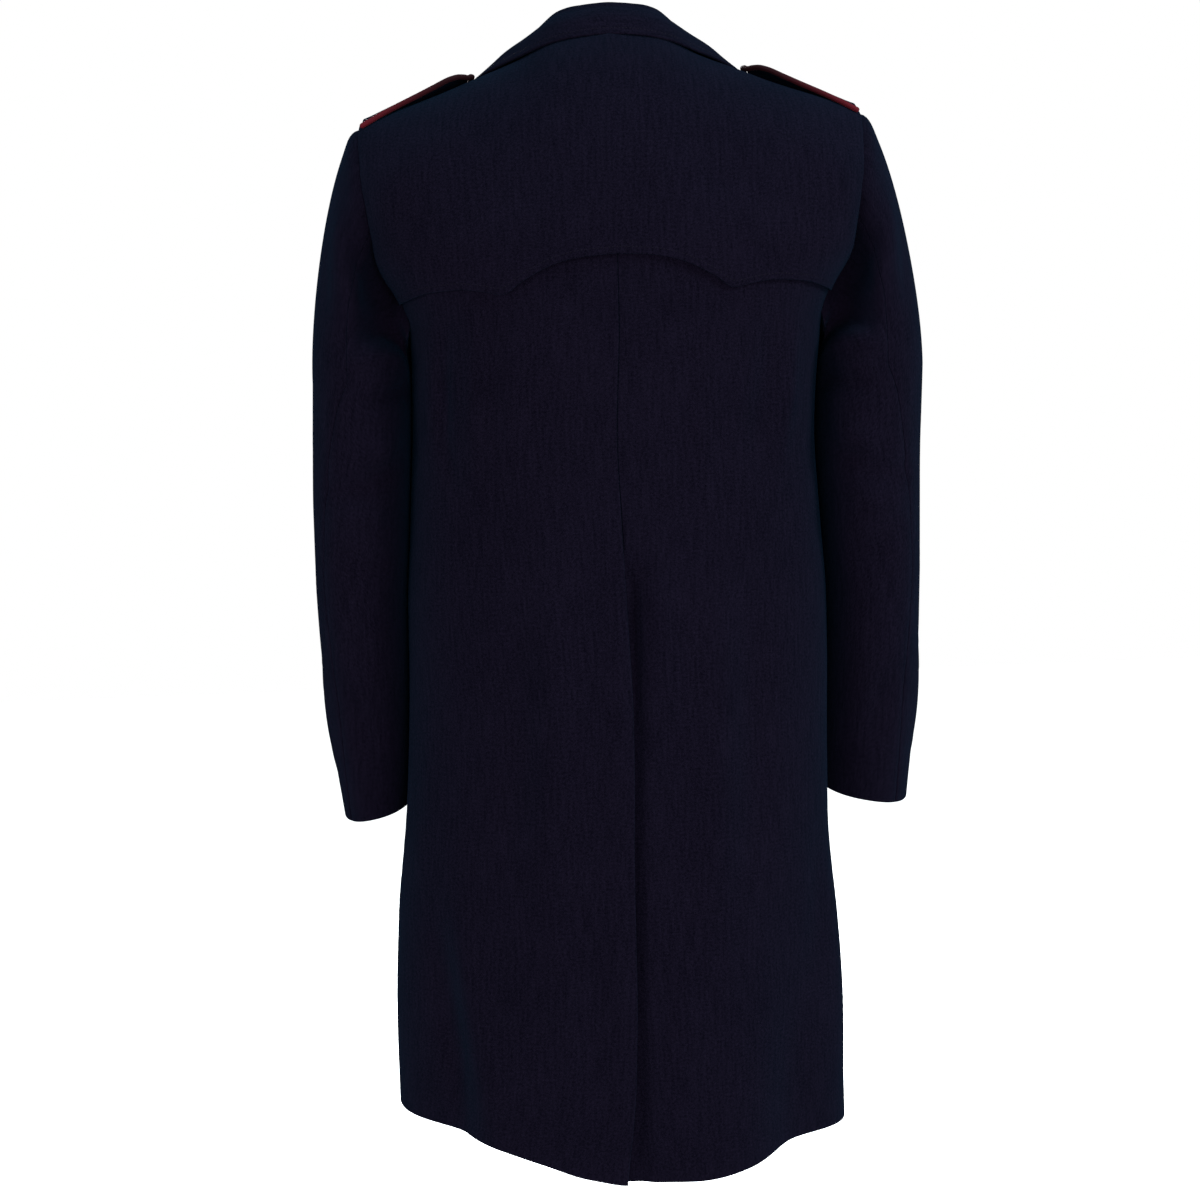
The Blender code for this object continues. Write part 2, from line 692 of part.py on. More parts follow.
def roll_point(along):
    """The x and z of the roll line, 0 at the break point and 1 at the neck."""
    share = np.linspace(0, 1, len(ROLL_LINE))
    x = smooth_curve(share, [p.x for p in ROLL_LINE])
    z = smooth_curve(share, [p.z for p in ROLL_LINE])
    return x(along), z(along)


def front_rows(rows):
    """Angles and levels of the front's free edge in each row: closure, then roll line."""
    upper = np.clip((rows - SKIRT_STEPS) / (TIP_ROW + SHOULDER_STEPS - SKIRT_STEPS), 0, 1)
    x, z = roll_point(upper)
    level_up = level_of(x, z)
    level_low = HEM_LEVEL * (1 - rows / SKIRT_STEPS)
    level = np.where(rows <= SKIRT_STEPS, level_low, level_up)
    x = np.where(rows <= SKIRT_STEPS, -BUTTON_STAND, x)
    return angle_of(x + lean_x(level), level, "front"), level


def front_surface(side):
    """Points and normals of a front, its columns running side, lapel's edge, free edge."""
    rows = np.arange(LAST_ROW + 1)[:, None].astype(float)
    lapel = 1 - column(LAPEL, "row", "share")(rows)
    out = np.linspace(0, 1, FRONT_COLUMNS + 1)[None, :-1] * lapel
    lapel_out = lapel + np.linspace(0, 1, LAPEL_COLUMNS + 1)[None, :] * (1 - lapel)
    shares = np.concatenate([out, lapel_out], axis=1)
    edge_angles, edge_levels = edge_rows("front")
    angle, level = edge_angles[:, None], edge_levels[:, None]
    free_angle, free_level = front_rows(rows)
    angles = angle + (free_angle - angle) * shares
    levels = level + (free_level - level) * shares
    turned = side_rows(angles, side)
    points, normals = torso(turned, levels), torso_normal(turned, levels)
    if side == "left":
        points = points + normals * front_lift(angles, levels)[..., None]
    return points, normals


def build_front(side, hole_normals):
    """One front, from the side seam to the closure, with the armhole and the roll line."""
    points, normals = front_surface(side)
    normals[HOLE_ROWS, 0] = hole_normals
    wall_from(f"front_{side}", points, normals, edges=("first_column",))


def hole_points(side):
    """The armhole's closed ring of points and body normals, from the tip down the back."""
    rings = []
    for facing in ("back", "front"):
        angles, levels = edge_rows(facing)
        angles, levels = side_rows(angles[HOLE_ROWS], side), levels[HOLE_ROWS]
        rings.append((torso(angles, levels), torso_normal(angles, levels)))
    (back, back_normals), (front, front_normals) = rings
    points = np.concatenate([back[::-1], front[1:-1]])
    normals = np.concatenate([back_normals[::-1], front_normals[1:-1]])
    return points, normals


HOLE_STEPS = TIP_ROW - SKIRT_STEPS  # points down one side of the armhole
RING_POINTS = 2 * HOLE_STEPS


def ring_angles(z):
    """The angle round the sleeve of each of its columns: 0 outside, 90 at the back."""
    index = np.arange(RING_POINTS + 1)
    anchors = [0, SLEEVE_BACK_SEAM_ROW, HOLE_STEPS, RING_POINTS - SLEEVE_FRONT_SEAM_ROW, RING_POINTS]
    back, front = column(SLEEVE_SEAMS[::-1], "z", "back")(z), column(SLEEVE_SEAMS[::-1], "z", "front")(z)
    angles = smooth_curve(anchors, [0, back, 180, front, 360])(index)
    return np.radians(angles[:-1])


def body_side(side, z, depths):
    """How far out the body reaches beside the arm, at a height and at depths from front to back."""
    angles = np.radians(np.linspace(30, 160, 131))
    points = torso(angles if side == "left" else -angles, (z - UNDERARM_Z) / LEVEL_STEP)
    return np.interp(depths, points[::-1, 1], np.abs(points[::-1, 0]))


def arm_ring(side, z):
    """One ring of a sleeve below its cap, close beside the body."""
    outer, middle, half_depth, dip, tilt = (
        column(RINGS[::-1], "z", name)(z) for name in ("outer", "middle", "half_depth", "dip", "tilt")
    )
    sign = 1 if side == "left" else -1
    turn = ring_angles(z)
    lean = column(SLEEVE_LEAN, "z", "x")(z)
    outer = outer + sign * lean
    inner = 0.20
    for _ in range(30):
        half_width = (outer - inner) / 2
        across = np.abs(np.cos(turn) / half_width) ** RING_SQUARE
        along = np.abs(np.sin(turn) / half_depth) ** RING_SQUARE
        radius = (across + along) ** (-1 / RING_SQUARE)
        out, y = radius * np.cos(turn), middle + radius * np.sin(turn)
        shares = np.linspace(0, 1, 9)[:, None]
        edge_out, edge_y = (v + (np.roll(v, -1) - v) * shares for v in (out, y))
        gap = np.min((outer + inner) / 2 + edge_out - body_side(side, z, edge_y))
        inner += (SLEEVE_CLEARANCE - gap) * 0.7
    x = sign * ((outer + inner) / 2 + out)
    return np.stack([x, y, z - dip * (y - middle) - tilt * out], axis=-1)


def cap_rows(hole, ring):
    """Rows of the sleeve's cap, curving from the armhole to the first ring of the arm."""
    turn = 2 * math.pi * np.arange(RING_POINTS) / RING_POINTS
    top, under = np.clip(np.cos(turn), 0, 1)[:, None], np.clip(-np.cos(turn), 0, 1)[:, None]
    sideways = 1 - top - under
    side_out = np.array(CAP_OUT_SIDE) * np.stack([np.ones_like(turn), np.sin(turn), np.ones_like(turn)], -1)
    leave = top * np.array(CAP_OUT_TOP) + under * np.array(CAP_OUT_UNDER) + sideways * side_out
    drop = np.zeros_like(ring)
    drop[:, 2] = -(np.abs(hole[:, 2] - ring[:, 2]) * CAP_DROP * 4 + 0.02)
    rows = []
    for t in np.linspace(0, 1, CAP_STEPS + 1)[:-1]:
        rows.append(
            hole * (2 * t**3 - 3 * t**2 + 1)
            + leave * (t**3 - 2 * t**2 + t)
            + ring * (3 * t**2 - 2 * t**3)
            + drop * (t**3 - t**2)
        )
    return rows


def sleeve_grid(side):
    """Points and normals of a whole sleeve, a row for each ring from the armhole down."""
    hole, hole_normals = hole_points(side)
    sign = 1 if side == "left" else -1
    levels = np.linspace(RINGS[0].z, RINGS[-1].z, ARM_STEPS + 1)
    rings = [arm_ring(side, z) for z in levels]
    flip = np.array([sign, 1, 1])
    grid = np.array(cap_rows(hole * flip, rings[0] * flip)) * flip
    grid = np.concatenate([grid, rings])
    round_it = np.roll(grid, -1, axis=1) - np.roll(grid, 1, axis=1)
    down = np.gradient(grid, axis=0)
    normals = unit(np.cross(down, round_it)) * sign
    normals[0] = unit(normals[0] + hole_normals)
    return grid, normals


def build_sleeve(side, grid, normals):
    """The top and under pieces of a sleeve, split along its back and front seams."""
    back, front = SLEEVE_BACK_SEAM_ROW, RING_POINTS - SLEEVE_FRONT_SEAM_ROW
    under = np.arange(back, front + 1)
    top = np.arange(front, RING_POINTS + back + 1) % RING_POINTS
    edges = ("first_row", "first_column", "last_column")
    wall_from(f"sleeve_under_{side}", grid[:, under], normals[:, under], edges=edges)
    wall_from(f"sleeve_top_{side}", grid[:, top], normals[:, top], edges=edges)


def build_lapel(side):
    """The lapel: the front's facing, rolled back over the chest."""
    points, normals = front_surface(side)
    kept = np.s_[SKIRT_STEPS : LAPEL_LAST_ROW + 1, FRONT_COLUMNS:]
    points, normals = points[kept], normals[kept]
    rows = np.arange(SKIRT_STEPS, LAPEL_LAST_ROW + 1)[:, None]
    edge_out = unit(points[:, -1:] - points[:, -2:-1])
    share, drop, reach, facing = (np.array(values)[None, :] for values in zip(*LAPEL_FALL))
    on_front = np.minimum(np.arange(len(LAPEL_FALL)), LAPEL_COLUMNS)
    base, up = points[:, on_front], normals[:, on_front]
    swell = LAPEL_SWELL * np.sin(math.pi * share) * smoothstep(*LAPEL_SWELL_ROWS, rows)
    inner = base + up * (LAPEL_GAP + swell - drop)[..., None] + edge_out * (reach * ROLL_REACH)[..., None]
    turned = up * facing[..., None] + edge_out * np.sqrt(1 - facing**2)[..., None]
    outer = inner + unit(turned) * CLOTH
    closed_wall(f"lapel_{side}", outer, inner)


def neck_path():
    """The neck seam from the centre back to the collar's front end, as a function of turn."""
    back = torso(*back_grid(np.linspace(0, 1, 9), np.full(9, float(LAST_ROW))))
    x, z = roll_point(np.linspace(1.0, COLLAR_END_ALONG, 7))
    level = level_of(x, z)
    front = torso(angle_of(x, level, "front"), level)
    points = np.concatenate([back, front])
    lengths = np.concatenate([[0], np.cumsum(np.linalg.norm(np.diff(points, axis=0), axis=1))])
    half = lengths[8]
    turn = np.where(lengths <= half, 0.5 * lengths / half, 0.5 + 0.5 * (lengths - half) / (lengths[-1] - half))
    return [smooth_curve(turn, points[:, axis]) for axis in range(3)]


def collar_edge():
    """The collar's outer edge on the coat's surface, as angle and level over turn."""
    turns = [row.turn for row in COLLAR_EDGE]
    forward = []
    sideways = []
    for row in COLLAR_EDGE:
        level = float(level_of(row.x, row.z))
        forward.append(level if row.side == "back" else 2 - level)
        sideways.append(row.x)
    return smooth_curve(turns, forward), smooth_curve(turns, sideways)


def collar_section(base, roll, edge, outward):
    """The collar's middle line at one station: up the stand, over the roll, down the fall."""
    up = np.array([0.0, 0.0, 1.0])
    stand_top = roll - outward * COLLAR_ROLL
    fall_top = roll + outward * COLLAR_ROLL
    swell = (fall_top + edge) / 2 + (up + outward) * COLLAR_SWELL
    return [
        base,
        (base + stand_top) / 2,
        stand_top,
        roll + up * COLLAR_ROLL * 0.8 - outward * COLLAR_ROLL * 0.55,
        roll + up * COLLAR_ROLL * 0.8 + outward * COLLAR_ROLL * 0.55,
        fall_top,
        fall_top * 0.5 + swell * 0.5,
        swell * 0.8 + (fall_top + edge) * 0.1,
        swell * 0.5 + edge * 0.5,
        edge,
    ]


def build_collar():
    """The collar: its stand rises from the neck seam, rolls over and falls to its edge."""
    path = neck_path()
    forward, sideways = collar_edge()
    stand, lean_in, clearance = (column(COLLAR, "turn", name) for name in ("stand", "lean_in", "clearance"))
    rows = []
    for turn in np.linspace(0, 1, COLLAR_STATIONS):
        base = np.array([float(axis(turn)) for axis in path])
        place = float(forward(turn))
        side, level = ("back", place) if place <= 1 else ("front", 2 - place)
        angle = float(angle_of(sideways(turn), level, side))
        edge = torso(angle, level) + torso_normal(angle, level) * float(clearance(turn))
        outward = unit(np.array([edge[0] - base[0], edge[1] - base[1], 0.0]))
        rise = SEAM_GAP + COLLAR_RISE[0] + COLLAR_RISE[1] * smoothstep(0.4, 0.6, turn)
        base = base + np.array([0, 0, rise]) - outward * (CLOTH * 0.5)
        roll = base + np.array([0, 0, 1.0]) * float(stand(turn)) - outward * float(lean_in(turn))
        rows.append(collar_section(base, roll, edge, outward))
    left = np.array(rows)
    right = mirrored(left)[:0:-1]
    grid = np.concatenate([right, left])
    along = np.gradient(grid, axis=0)
    across = np.gradient(grid, axis=1)
    normals = unit(np.cross(along, across))
    return closed_wall("collar", grid + normals * COLLAR_WALL / 2, grid - normals * COLLAR_WALL / 2)


def strap_point(x, y):
    """A point of the left strap's middle surface."""
    half, back, middle, front = (
        column(STRAP[::-1], "x", name)(x) for name in ("half_width", "back", "middle", "front")
    )
    share = y / half
    z = ridge_z(x) + middle + (back - front) / 2 * share + ((back + front) / 2 - middle) * share**2
    return np.stack([x, y, z], axis=-1)


def build_strap(side):
    """A shoulder strap: a double layer of cloth, sewn in at the sleeve, round at its tip."""
    x = np.linspace(0, 1, STRAP_ROWS + 1)[:, None] ** 0.85
    x = STRAP[0].x + (STRAP[-1].x - STRAP[0].x) * x
    half = column(STRAP[::-1], "x", "half_width")(x)
    across = np.linspace(-1, 1, STRAP_COLUMNS + 1)[None, :]
    points = strap_point(x + 0 * across, half * across)
    up = np.array([0.0, 0.0, STRAP_WALL / 2])
    outer, inner = points + up, points - up
    if side == "right":
        outer, inner = mirrored(outer), mirrored(inner)
    return closed_wall(f"strap_{side}", outer, inner)


def build_piping(side):
    """The red cord of cloth sewn round the strap's two long edges and tip."""
    reach = PIPING_RADIUS + PIPING_GAP
    x = np.linspace(STRAP[0].x - 0.0004, STRAP[-1].x, 16)
    half = column(STRAP[::-1], "x", "half_width")(x)
    slope = np.gradient(half, x)
    out = unit(np.stack([-slope, np.ones_like(x)], axis=-1))
    back = np.stack([x + out[:, 0] * reach, half + out[:, 1] * reach], axis=-1)
    tip = np.array([[STRAP[-1].x - reach - 0.0008, 0.0]])
    front = back[::-1] * np.array([1.0, -1.0])
    outline = np.concatenate([back, tip, front])
    points = strap_point(outline[:, 0], outline[:, 1])
    if side == "right":
        points = mirrored(points)
    curve = bpy.data.curves.new(f"strap_piping_{side}", "CURVE")
    curve.dimensions = "3D"
    curve.bevel_depth = PIPING_RADIUS
    curve.bevel_resolution = 2
    curve.use_fill_caps = True
    spline = curve.splines.new("POLY")
    spline.points.add(len(points) - 1)
    for knot, point in zip(spline.points, points):
        knot.co = (*point, 1.0)
    curve.materials.append(new_material(RED_CLOTH))
    piece = bpy.data.objects.new(curve.name, curve)
    bpy.context.scene.collection.objects.link(piece)
    return piece


def build_button(name, radius, seat, normal):
    """A plain domed button with a shank, turned from its profile and set on a surface."""
    work = bmesh.new()
    profile = [Vector((t.radius * radius, 0, t.height * radius)) for t in BUTTON_PROFILE]
    ends = [Vector((0, 0, BUTTON_PROFILE[0].height * radius)), Vector((0, 0, BUTTON_TOP * radius))]
    verts = [work.verts.new(p) for p in [ends[0]] + profile + [ends[1]]]
    edges = [work.edges.new(pair) for pair in zip(verts, verts[1:])]
    bmesh.ops.spin(
        work,
        geom=verts + edges,
        cent=(0, 0, 0),
        axis=(0, 0, 1),
        angle=2 * math.pi,
        steps=BUTTON_STEPS,
        use_merge=True,
    )
    bmesh.ops.remove_doubles(work, verts=work.verts, dist=1e-5)
    piece = add_object(name, work, METAL)
    normal = Vector(normal).normalized()
    piece.location = Vector(seat) + normal * BUTTON_SEAT
    piece.rotation_mode = "QUATERNION"
    piece.rotation_quaternion = normal.to_track_quat("Z", "Y")
    return piece


def seat_on(piece, point, normal):
    """The point and normal where a line along the normal first meets a piece from outside."""
    start = Vector(point) + Vector(normal) * 0.03
    hit, place, facing, _ = piece.ray_cast(start, -Vector(normal))
    return (np.array(place), np.array(facing)) if hit else (point, normal)


def build_buttons():
    """The four front buttons on the left front, and one on each strap."""
    bpy.context.view_layer.update()
    front = bpy.data.objects["front_left"]
    for number, level in enumerate(BUTTON_LEVELS, start=1):
        angle = float(angle_of(lean_x(level), level, "front"))
        seat, normal = seat_on(front, torso(angle, level), torso_normal(angle, level))
        build_button(f"front_button_{number}", FRONT_BUTTON_RADIUS, seat, normal)
    for side, sign in (("left", 1), ("right", -1)):
        middle = strap_point(np.array(STRAP_BUTTON_X), np.array(0.001)) * [sign, 1, 1]
        seat, normal = seat_on(bpy.data.objects[f"strap_{side}"], middle, [0.0, 0.0, 1.0])
        build_button(f"strap_button_{side}", STRAP_BUTTON_RADIUS, seat, normal)


def main():
    """Builds every piece of the coat."""
    for old in list(bpy.data.objects):
        bpy.data.objects.remove(old)
    hole_normals = []
    for side in ("right", "left"):
        grid, normals = sleeve_grid(side)
        down_back = normals[0, : HOLE_STEPS + 1][::-1]
        up_front = np.concatenate([normals[0, HOLE_STEPS:], normals[0, :1]])
        hole_normals.append(down_back)
        build_back(side, down_back)
        build_front(side, up_front)
        build_sleeve(side, grid, normals)
        build_lapel(side)
        build_strap(side)
        build_piping(side)
    build_flap(hole_normals)
    build_collar()
    build_buttons()


main()
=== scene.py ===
"""The looks of a long police overcoat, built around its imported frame.

Metres, +Z up. The coat's front faces -Y and the wearer's left is +X. Each panel is
a thin closed shell of wool on the form of its solid, with seams, creases and
stitches of its own.
"""

import logging
import math
from collections.abc import Callable, Iterable, Sequence
from dataclasses import dataclass, field, replace
from enum import Enum
from functools import cached_property
from typing import NamedTuple

import bpy
import numpy as np
from mathutils import Matrix, Vector


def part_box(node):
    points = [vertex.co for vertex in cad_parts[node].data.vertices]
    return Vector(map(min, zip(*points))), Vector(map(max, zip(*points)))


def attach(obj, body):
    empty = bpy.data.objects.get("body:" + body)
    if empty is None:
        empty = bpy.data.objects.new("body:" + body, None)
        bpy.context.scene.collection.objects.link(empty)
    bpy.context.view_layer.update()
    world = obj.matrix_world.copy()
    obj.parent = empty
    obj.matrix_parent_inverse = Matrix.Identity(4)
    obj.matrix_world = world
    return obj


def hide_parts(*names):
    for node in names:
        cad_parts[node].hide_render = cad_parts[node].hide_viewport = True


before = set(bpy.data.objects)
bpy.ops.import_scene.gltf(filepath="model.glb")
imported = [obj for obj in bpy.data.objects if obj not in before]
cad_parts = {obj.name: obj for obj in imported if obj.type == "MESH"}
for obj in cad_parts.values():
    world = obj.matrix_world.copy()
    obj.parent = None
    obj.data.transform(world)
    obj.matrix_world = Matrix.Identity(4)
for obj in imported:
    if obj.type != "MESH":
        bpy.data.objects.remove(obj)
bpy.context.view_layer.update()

Array = np.ndarray
Curve = Callable[[Array], Array]
Colour = tuple[float, float, float]

BODY = "root"
LOG = logging.getLogger("overcoat")


class Side(Enum):
    """The wearer's left or right, as the sign of x there."""

    RIGHT = -1
    LEFT = 1

    @property
    def word(self) -> str:
        """The side's name as the pieces use it."""
        return self.name.lower()


class Facing(Enum):
    """The half of the coat that a panel belongs to."""

    BACK = "back"
    FRONT = "front"


class Border(Enum):
    """One of the four edges of a grid of cloth."""

    FIRST_ROW = (0, False)
    LAST_ROW = (0, True)
    FIRST_COLUMN = (1, False)
    LAST_COLUMN = (1, True)


class Slot(Enum):
    """The material slots of the coat's record."""

    WOOL = "navy_wool"
    PIPING = "red_piping"
    METAL = "button_metal"


# Curves and small sums


def smooth_curve(xs: Sequence[float], ys: Sequence[float]) -> Curve:
    """A curve through points that never overshoots them.

    Args:
        xs: where the points lie, rising.
        ys: the value at each point.

    Returns:
        A function of an array that gives the curve's values.
    """
    xs, ys = np.asarray(xs, float), np.asarray(ys, float)
    steps = np.diff(xs)
    rates = np.diff(ys) / steps
    slopes = np.zeros_like(ys)
    slopes[0], slopes[-1] = rates[0], rates[-1]
    for i in range(1, len(xs) - 1):
        if rates[i - 1] * rates[i] > 0:
            before, after = 2 * steps[i] + steps[i - 1], steps[i] + 2 * steps[i - 1]
            slopes[i] = (before + after) / (before / rates[i - 1] + after / rates[i])

    def value(x: Array) -> Array:
        """The curve's value at x."""
        x = np.clip(np.asarray(x, float), xs[0], xs[-1])
        i = np.clip(np.searchsorted(xs, x, side="right") - 1, 0, len(xs) - 2)
        t = (x - xs[i]) / steps[i]
        return (
            ys[i] * (2 * t**3 - 3 * t**2 + 1)
            + slopes[i] * steps[i] * (t**3 - 2 * t**2 + t)
            + ys[i + 1] * (3 * t**2 - 2 * t**3)
            + slopes[i + 1] * steps[i] * (t**3 - t**2)
        )

    return value


def column(rows: Sequence[NamedTuple], key: str, name: str) -> Curve:
    """The curve of one named column of a table over another."""
    ordered = sorted(rows, key=lambda row: getattr(row, key))
    return smooth_curve([getattr(row, key) for row in ordered], [getattr(row, name) for row in ordered])


def smoothstep(low: float, high: float, x: Array) -> Array:
    """0 below low, 1 above high, and smooth between."""
    t = np.clip((x - low) / (high - low), 0, 1)
    return t * t * (3 - 2 * t)


def unit(vectors: Array) -> Array:
    """Vectors of length 1."""
    return vectors / np.maximum(np.linalg.norm(vectors, axis=-1, keepdims=True), 1e-12)


def spread(first: float, last: float, steps: int) -> list[float]:
    """Evenly spaced values without the last one."""
    return list(np.linspace(first, last, steps, endpoint=False))


# The coat's own sizes, as tables


class Section(NamedTuple):
    """A section of the torso: level 0 is the underarm, 1 the shoulder line."""

    level: float
    half_width: float
    back: float
    front: float
    square: float


class Place(NamedTuple):
    """A point seen from behind or from the front."""

    x: float
    z: float


class Shift(NamedTuple):
    """How far something is moved at a level."""

    level: float
    by: float


class HemLift(NamedTuple):
    """How far the hem is lifted at an angle from the centre back, in degrees."""

    angle: float
    lift: float


class Fold(NamedTuple):
    """A fold of the skirt at the hem, and the level where it starts."""

    angle: float
    width: float
    depth: float
    start: float


class LapelShare(NamedTuple):
    """The share of the front's width that the lapel covers in a row."""

    row: float
    share: float


class Ring(NamedTuple):
    """A ring of the sleeve: its drop towards the back and towards the outer side too."""

    z: float
    outer: float
    middle: float
    half_depth: float
    dip: float
    tilt: float


class SleeveSeam(NamedTuple):
    """The angles round the sleeve, in degrees, where its two seams lie."""

    z: float
    back: float
    front: float


class CollarStation(NamedTuple):
    """The collar's section, from the centre back (turn 0) to its front end (turn 1)."""

    turn: float
    stand: float
    lean_in: float
    clearance: float


class CollarEdge(NamedTuple):
    """Where the collar's outer edge lies on the coat."""

    turn: float
    x: float
    z: float
    facing: Facing


class StrapStation(NamedTuple):
    """The strap's half width, and how far its edges and middle stand over the shoulder line."""

    x: float
    half_width: float
    back: float
    middle: float
    front: float


class Crease(NamedTuple):
    """A soft ridge (depth above 0) or trough through places on the cloth.

    On the body a place is an angle from the centre back in degrees and a height. On
    a sleeve it is the angle round the sleeve, 0 outside and 90 at the back.
    """

    width: float
    depth: float
    path: tuple[tuple[float, float], ...]


UNDERARM_Z = -0.250
HEM_Z = -1.013
LEVEL_STEP = 0.30
HEM_LEVEL = (HEM_Z - UNDERARM_Z) / LEVEL_STEP

SECTIONS = (
    Section(HEM_LEVEL, 0.2115, 0.153, 0.138, 2.05),
    Section(-2.17, 0.2110, 0.150, 0.135, 2.08),
    Section(-1.83, 0.2080, 0.148, 0.131, 2.10),
    Section(-1.50, 0.2005, 0.144, 0.127, 2.12),
    Section(-1.17, 0.1975, 0.138, 0.123, 2.15),
    Section(-0.83, 0.1968, 0.130, 0.120, 2.20),
    Section(-0.57, 0.1920, 0.126, 0.120, 2.25),
    Section(-0.27, 0.1875, 0.129, 0.124, 2.35),
    Section(0.00, 0.1900, 0.135, 0.127, 2.50),
    Section(0.12, 0.2000, 0.137, 0.126, 2.65),
    Section(0.25, 0.2220, 0.138, 0.124, 2.85),
    Section(0.50, 0.2400, 0.138, 0.122, 3.00),
    Section(1.00, 0.2440, 0.136, 0.118, 3.00),
)
RIDGE = (
    Place(0.000, 0.0380),
    Place(0.045, 0.0240),
    Place(0.080, 0.0015),
    Place(0.120, -0.0147),
    Place(0.145, -0.0246),
    Place(0.170, -0.0334),
    Place(0.195, -0.0416),
    Place(0.215, -0.0487),
    Place(0.2298, -0.0535),
    Place(0.260, -0.0637),
)
LEAN = (
    Shift(HEM_LEVEL, 0.0190),
    Shift(-2.07, 0.0180),
    Shift(-1.60, 0.0160),
    Shift(-1.33, 0.0125),
    Shift(-0.97, 0.0085),
    Shift(-0.70, 0.0076),
    Shift(-0.37, 0.0068),
    Shift(-0.18, 0.0045),
    Shift(0.00, 0.0015),
    Shift(0.30, 0.0000),
)
HEM_LIFT = (
    HemLift(-180, 0.003),
    HemLift(-120, 0.008),
    HemLift(-90, 0.013),
    HemLift(-62, 0.017),
    HemLift(-40, 0.008),
    HemLift(-22, 0.003),
    HemLift(0, 0.004),
    HemLift(14, 0.010),
    HemLift(28, 0.023),
    HemLift(45, 0.037),
    HemLift(62, 0.042),
    HemLift(90, 0.045),
    HemLift(130, 0.022),
    HemLift(180, 0.003),
)
HEM_LIFT_FROM = -1.4
FOLDS = (
    Fold(angle=-61, width=13, depth=-0.015, start=-1.35),
    Fold(angle=-78, width=12, depth=0.004, start=-1.5),
    Fold(angle=-31, width=15, depth=0.007, start=-0.8),
    Fold(angle=-8, width=10, depth=-0.003, start=-1.2),
    Fold(angle=41, width=12, depth=0.007, start=-1.5),
    Fold(angle=60, width=12, depth=-0.009, start=-1.5),
    Fold(angle=83, width=14, depth=0.003, start=-1.5),
    Fold(angle=112, width=18, depth=-0.006, start=-1.1),
    Fold(angle=138, width=18, depth=0.008, start=-0.9),
    Fold(angle=-112, width=18, depth=-0.006, start=-1.2),
    Fold(angle=-136, width=18, depth=0.008, start=-0.9),
)
ARMHOLES = {
    Facing.BACK: (
        Place(0.1890, -0.2370),
        Place(0.1965, -0.2165),
        Place(0.2075, -0.1960),
        Place(0.2195, -0.1520),
        Place(0.2238, -0.1190),
        Place(0.2265, -0.0920),
        Place(0.2285, -0.0700),
    ),
    Facing.FRONT: (
        Place(0.1870, -0.2420),
        Place(0.1890, -0.2240),
        Place(0.1950, -0.1960),
        Place(0.2040, -0.1640),
        Place(0.2140, -0.1280),
        Place(0.2220, -0.0960),
        Place(0.2272, -0.0700),
    ),
}
SCALLOPS = (
    Place(0.0000, -0.1835),
    Place(0.0300, -0.1855),
    Place(0.0530, -0.1900),
    Place(0.0700, -0.1970),
    Place(0.0860, -0.2060),
    Place(0.1010, -0.2150),
    Place(0.1200, -0.2110),
    Place(0.1400, -0.2085),
    Place(0.1620, -0.2090),
    Place(0.1965, -0.2165),
)
ROLL_LINE = (
    Place(-0.030, -0.2500),
    Place(0.008, -0.1680),
    Place(0.042, -0.0880),
    Place(0.066, -0.0300),
    Place(0.0765, -0.0040),
)
LAPEL = (
    LapelShare(0, 0.20),
    LapelShare(9, 0.20),
    LapelShare(13, 0.05),
    LapelShare(14, 0.13),
    LapelShare(16, 0.30),
    LapelShare(18, 0.43),
    LapelShare(20, 0.52),
    LapelShare(21, 0.44),
    LapelShare(26, 0.40),
)
FRONT_LIFT = (
    Shift(HEM_LEVEL, 0.0028),
    Shift(-0.40, 0.0030),
    Shift(-0.12, 0.0056),
    Shift(0.20, 0.0056),
    Shift(0.45, 0.0015),
    Shift(0.70, 0.0),
)
VENT_EDGE = (
    Place(0.0010, -1.010),
    Place(-0.0090, -0.920),
    Place(-0.0120, -0.820),
    Place(-0.0110, -0.650),
    Place(-0.0100, -0.600),
    Place(-0.0060, -0.510),
    Place(-0.0035, -0.440),
    Place(0.0, -0.340),
)
RINGS = (
    Ring(-0.285, 0.2835, 0.001, 0.074, 0.00, 0.00),
    Ring(-0.335, 0.2840, -0.001, 0.072, 0.00, 0.00),
    Ring(-0.395, 0.2850, -0.005, 0.069, 0.02, 0.00),
    Ring(-0.455, 0.2855, -0.010, 0.066, 0.03, 0.03),
    Ring(-0.515, 0.2845, -0.017, 0.063, 0.05, 0.06),
    Ring(-0.575, 0.2815, -0.026, 0.060, 0.08, 0.10),
    Ring(-0.635, 0.2775, -0.036, 0.057, 0.11, 0.15),
    Ring(-0.690, 0.2725, -0.045, 0.054, 0.14, 0.20),
)
SLEEVE_SEAMS = (
    SleeveSeam(-0.285, 84, 246),
    SleeveSeam(-0.313, 75, 246),
    SleeveSeam(-0.373, 65, 246),
    SleeveSeam(-0.423, 60, 245),
    SleeveSeam(-0.473, 57, 244),
    SleeveSeam(-0.516, 59, 243),
    SleeveSeam(-0.600, 61, 241),
    SleeveSeam(-0.690, 58, 240),
)
SLEEVE_LEAN = (
    Place(0.0045, -0.72),
    Place(0.0058, -0.50),
    Place(0.0048, -0.40),
    Place(0.0, -0.285),
)
COLLAR = (
    CollarStation(turn=0.00, stand=0.0250, lean_in=0.0125, clearance=0.0052),
    CollarStation(turn=0.25, stand=0.0240, lean_in=0.0115, clearance=0.0050),
    CollarStation(turn=0.50, stand=0.0190, lean_in=0.0095, clearance=0.0050),
    CollarStation(turn=0.75, stand=0.0125, lean_in=0.0060, clearance=0.0052),
    CollarStation(turn=1.00, stand=0.0070, lean_in=0.0020, clearance=0.0052),
)
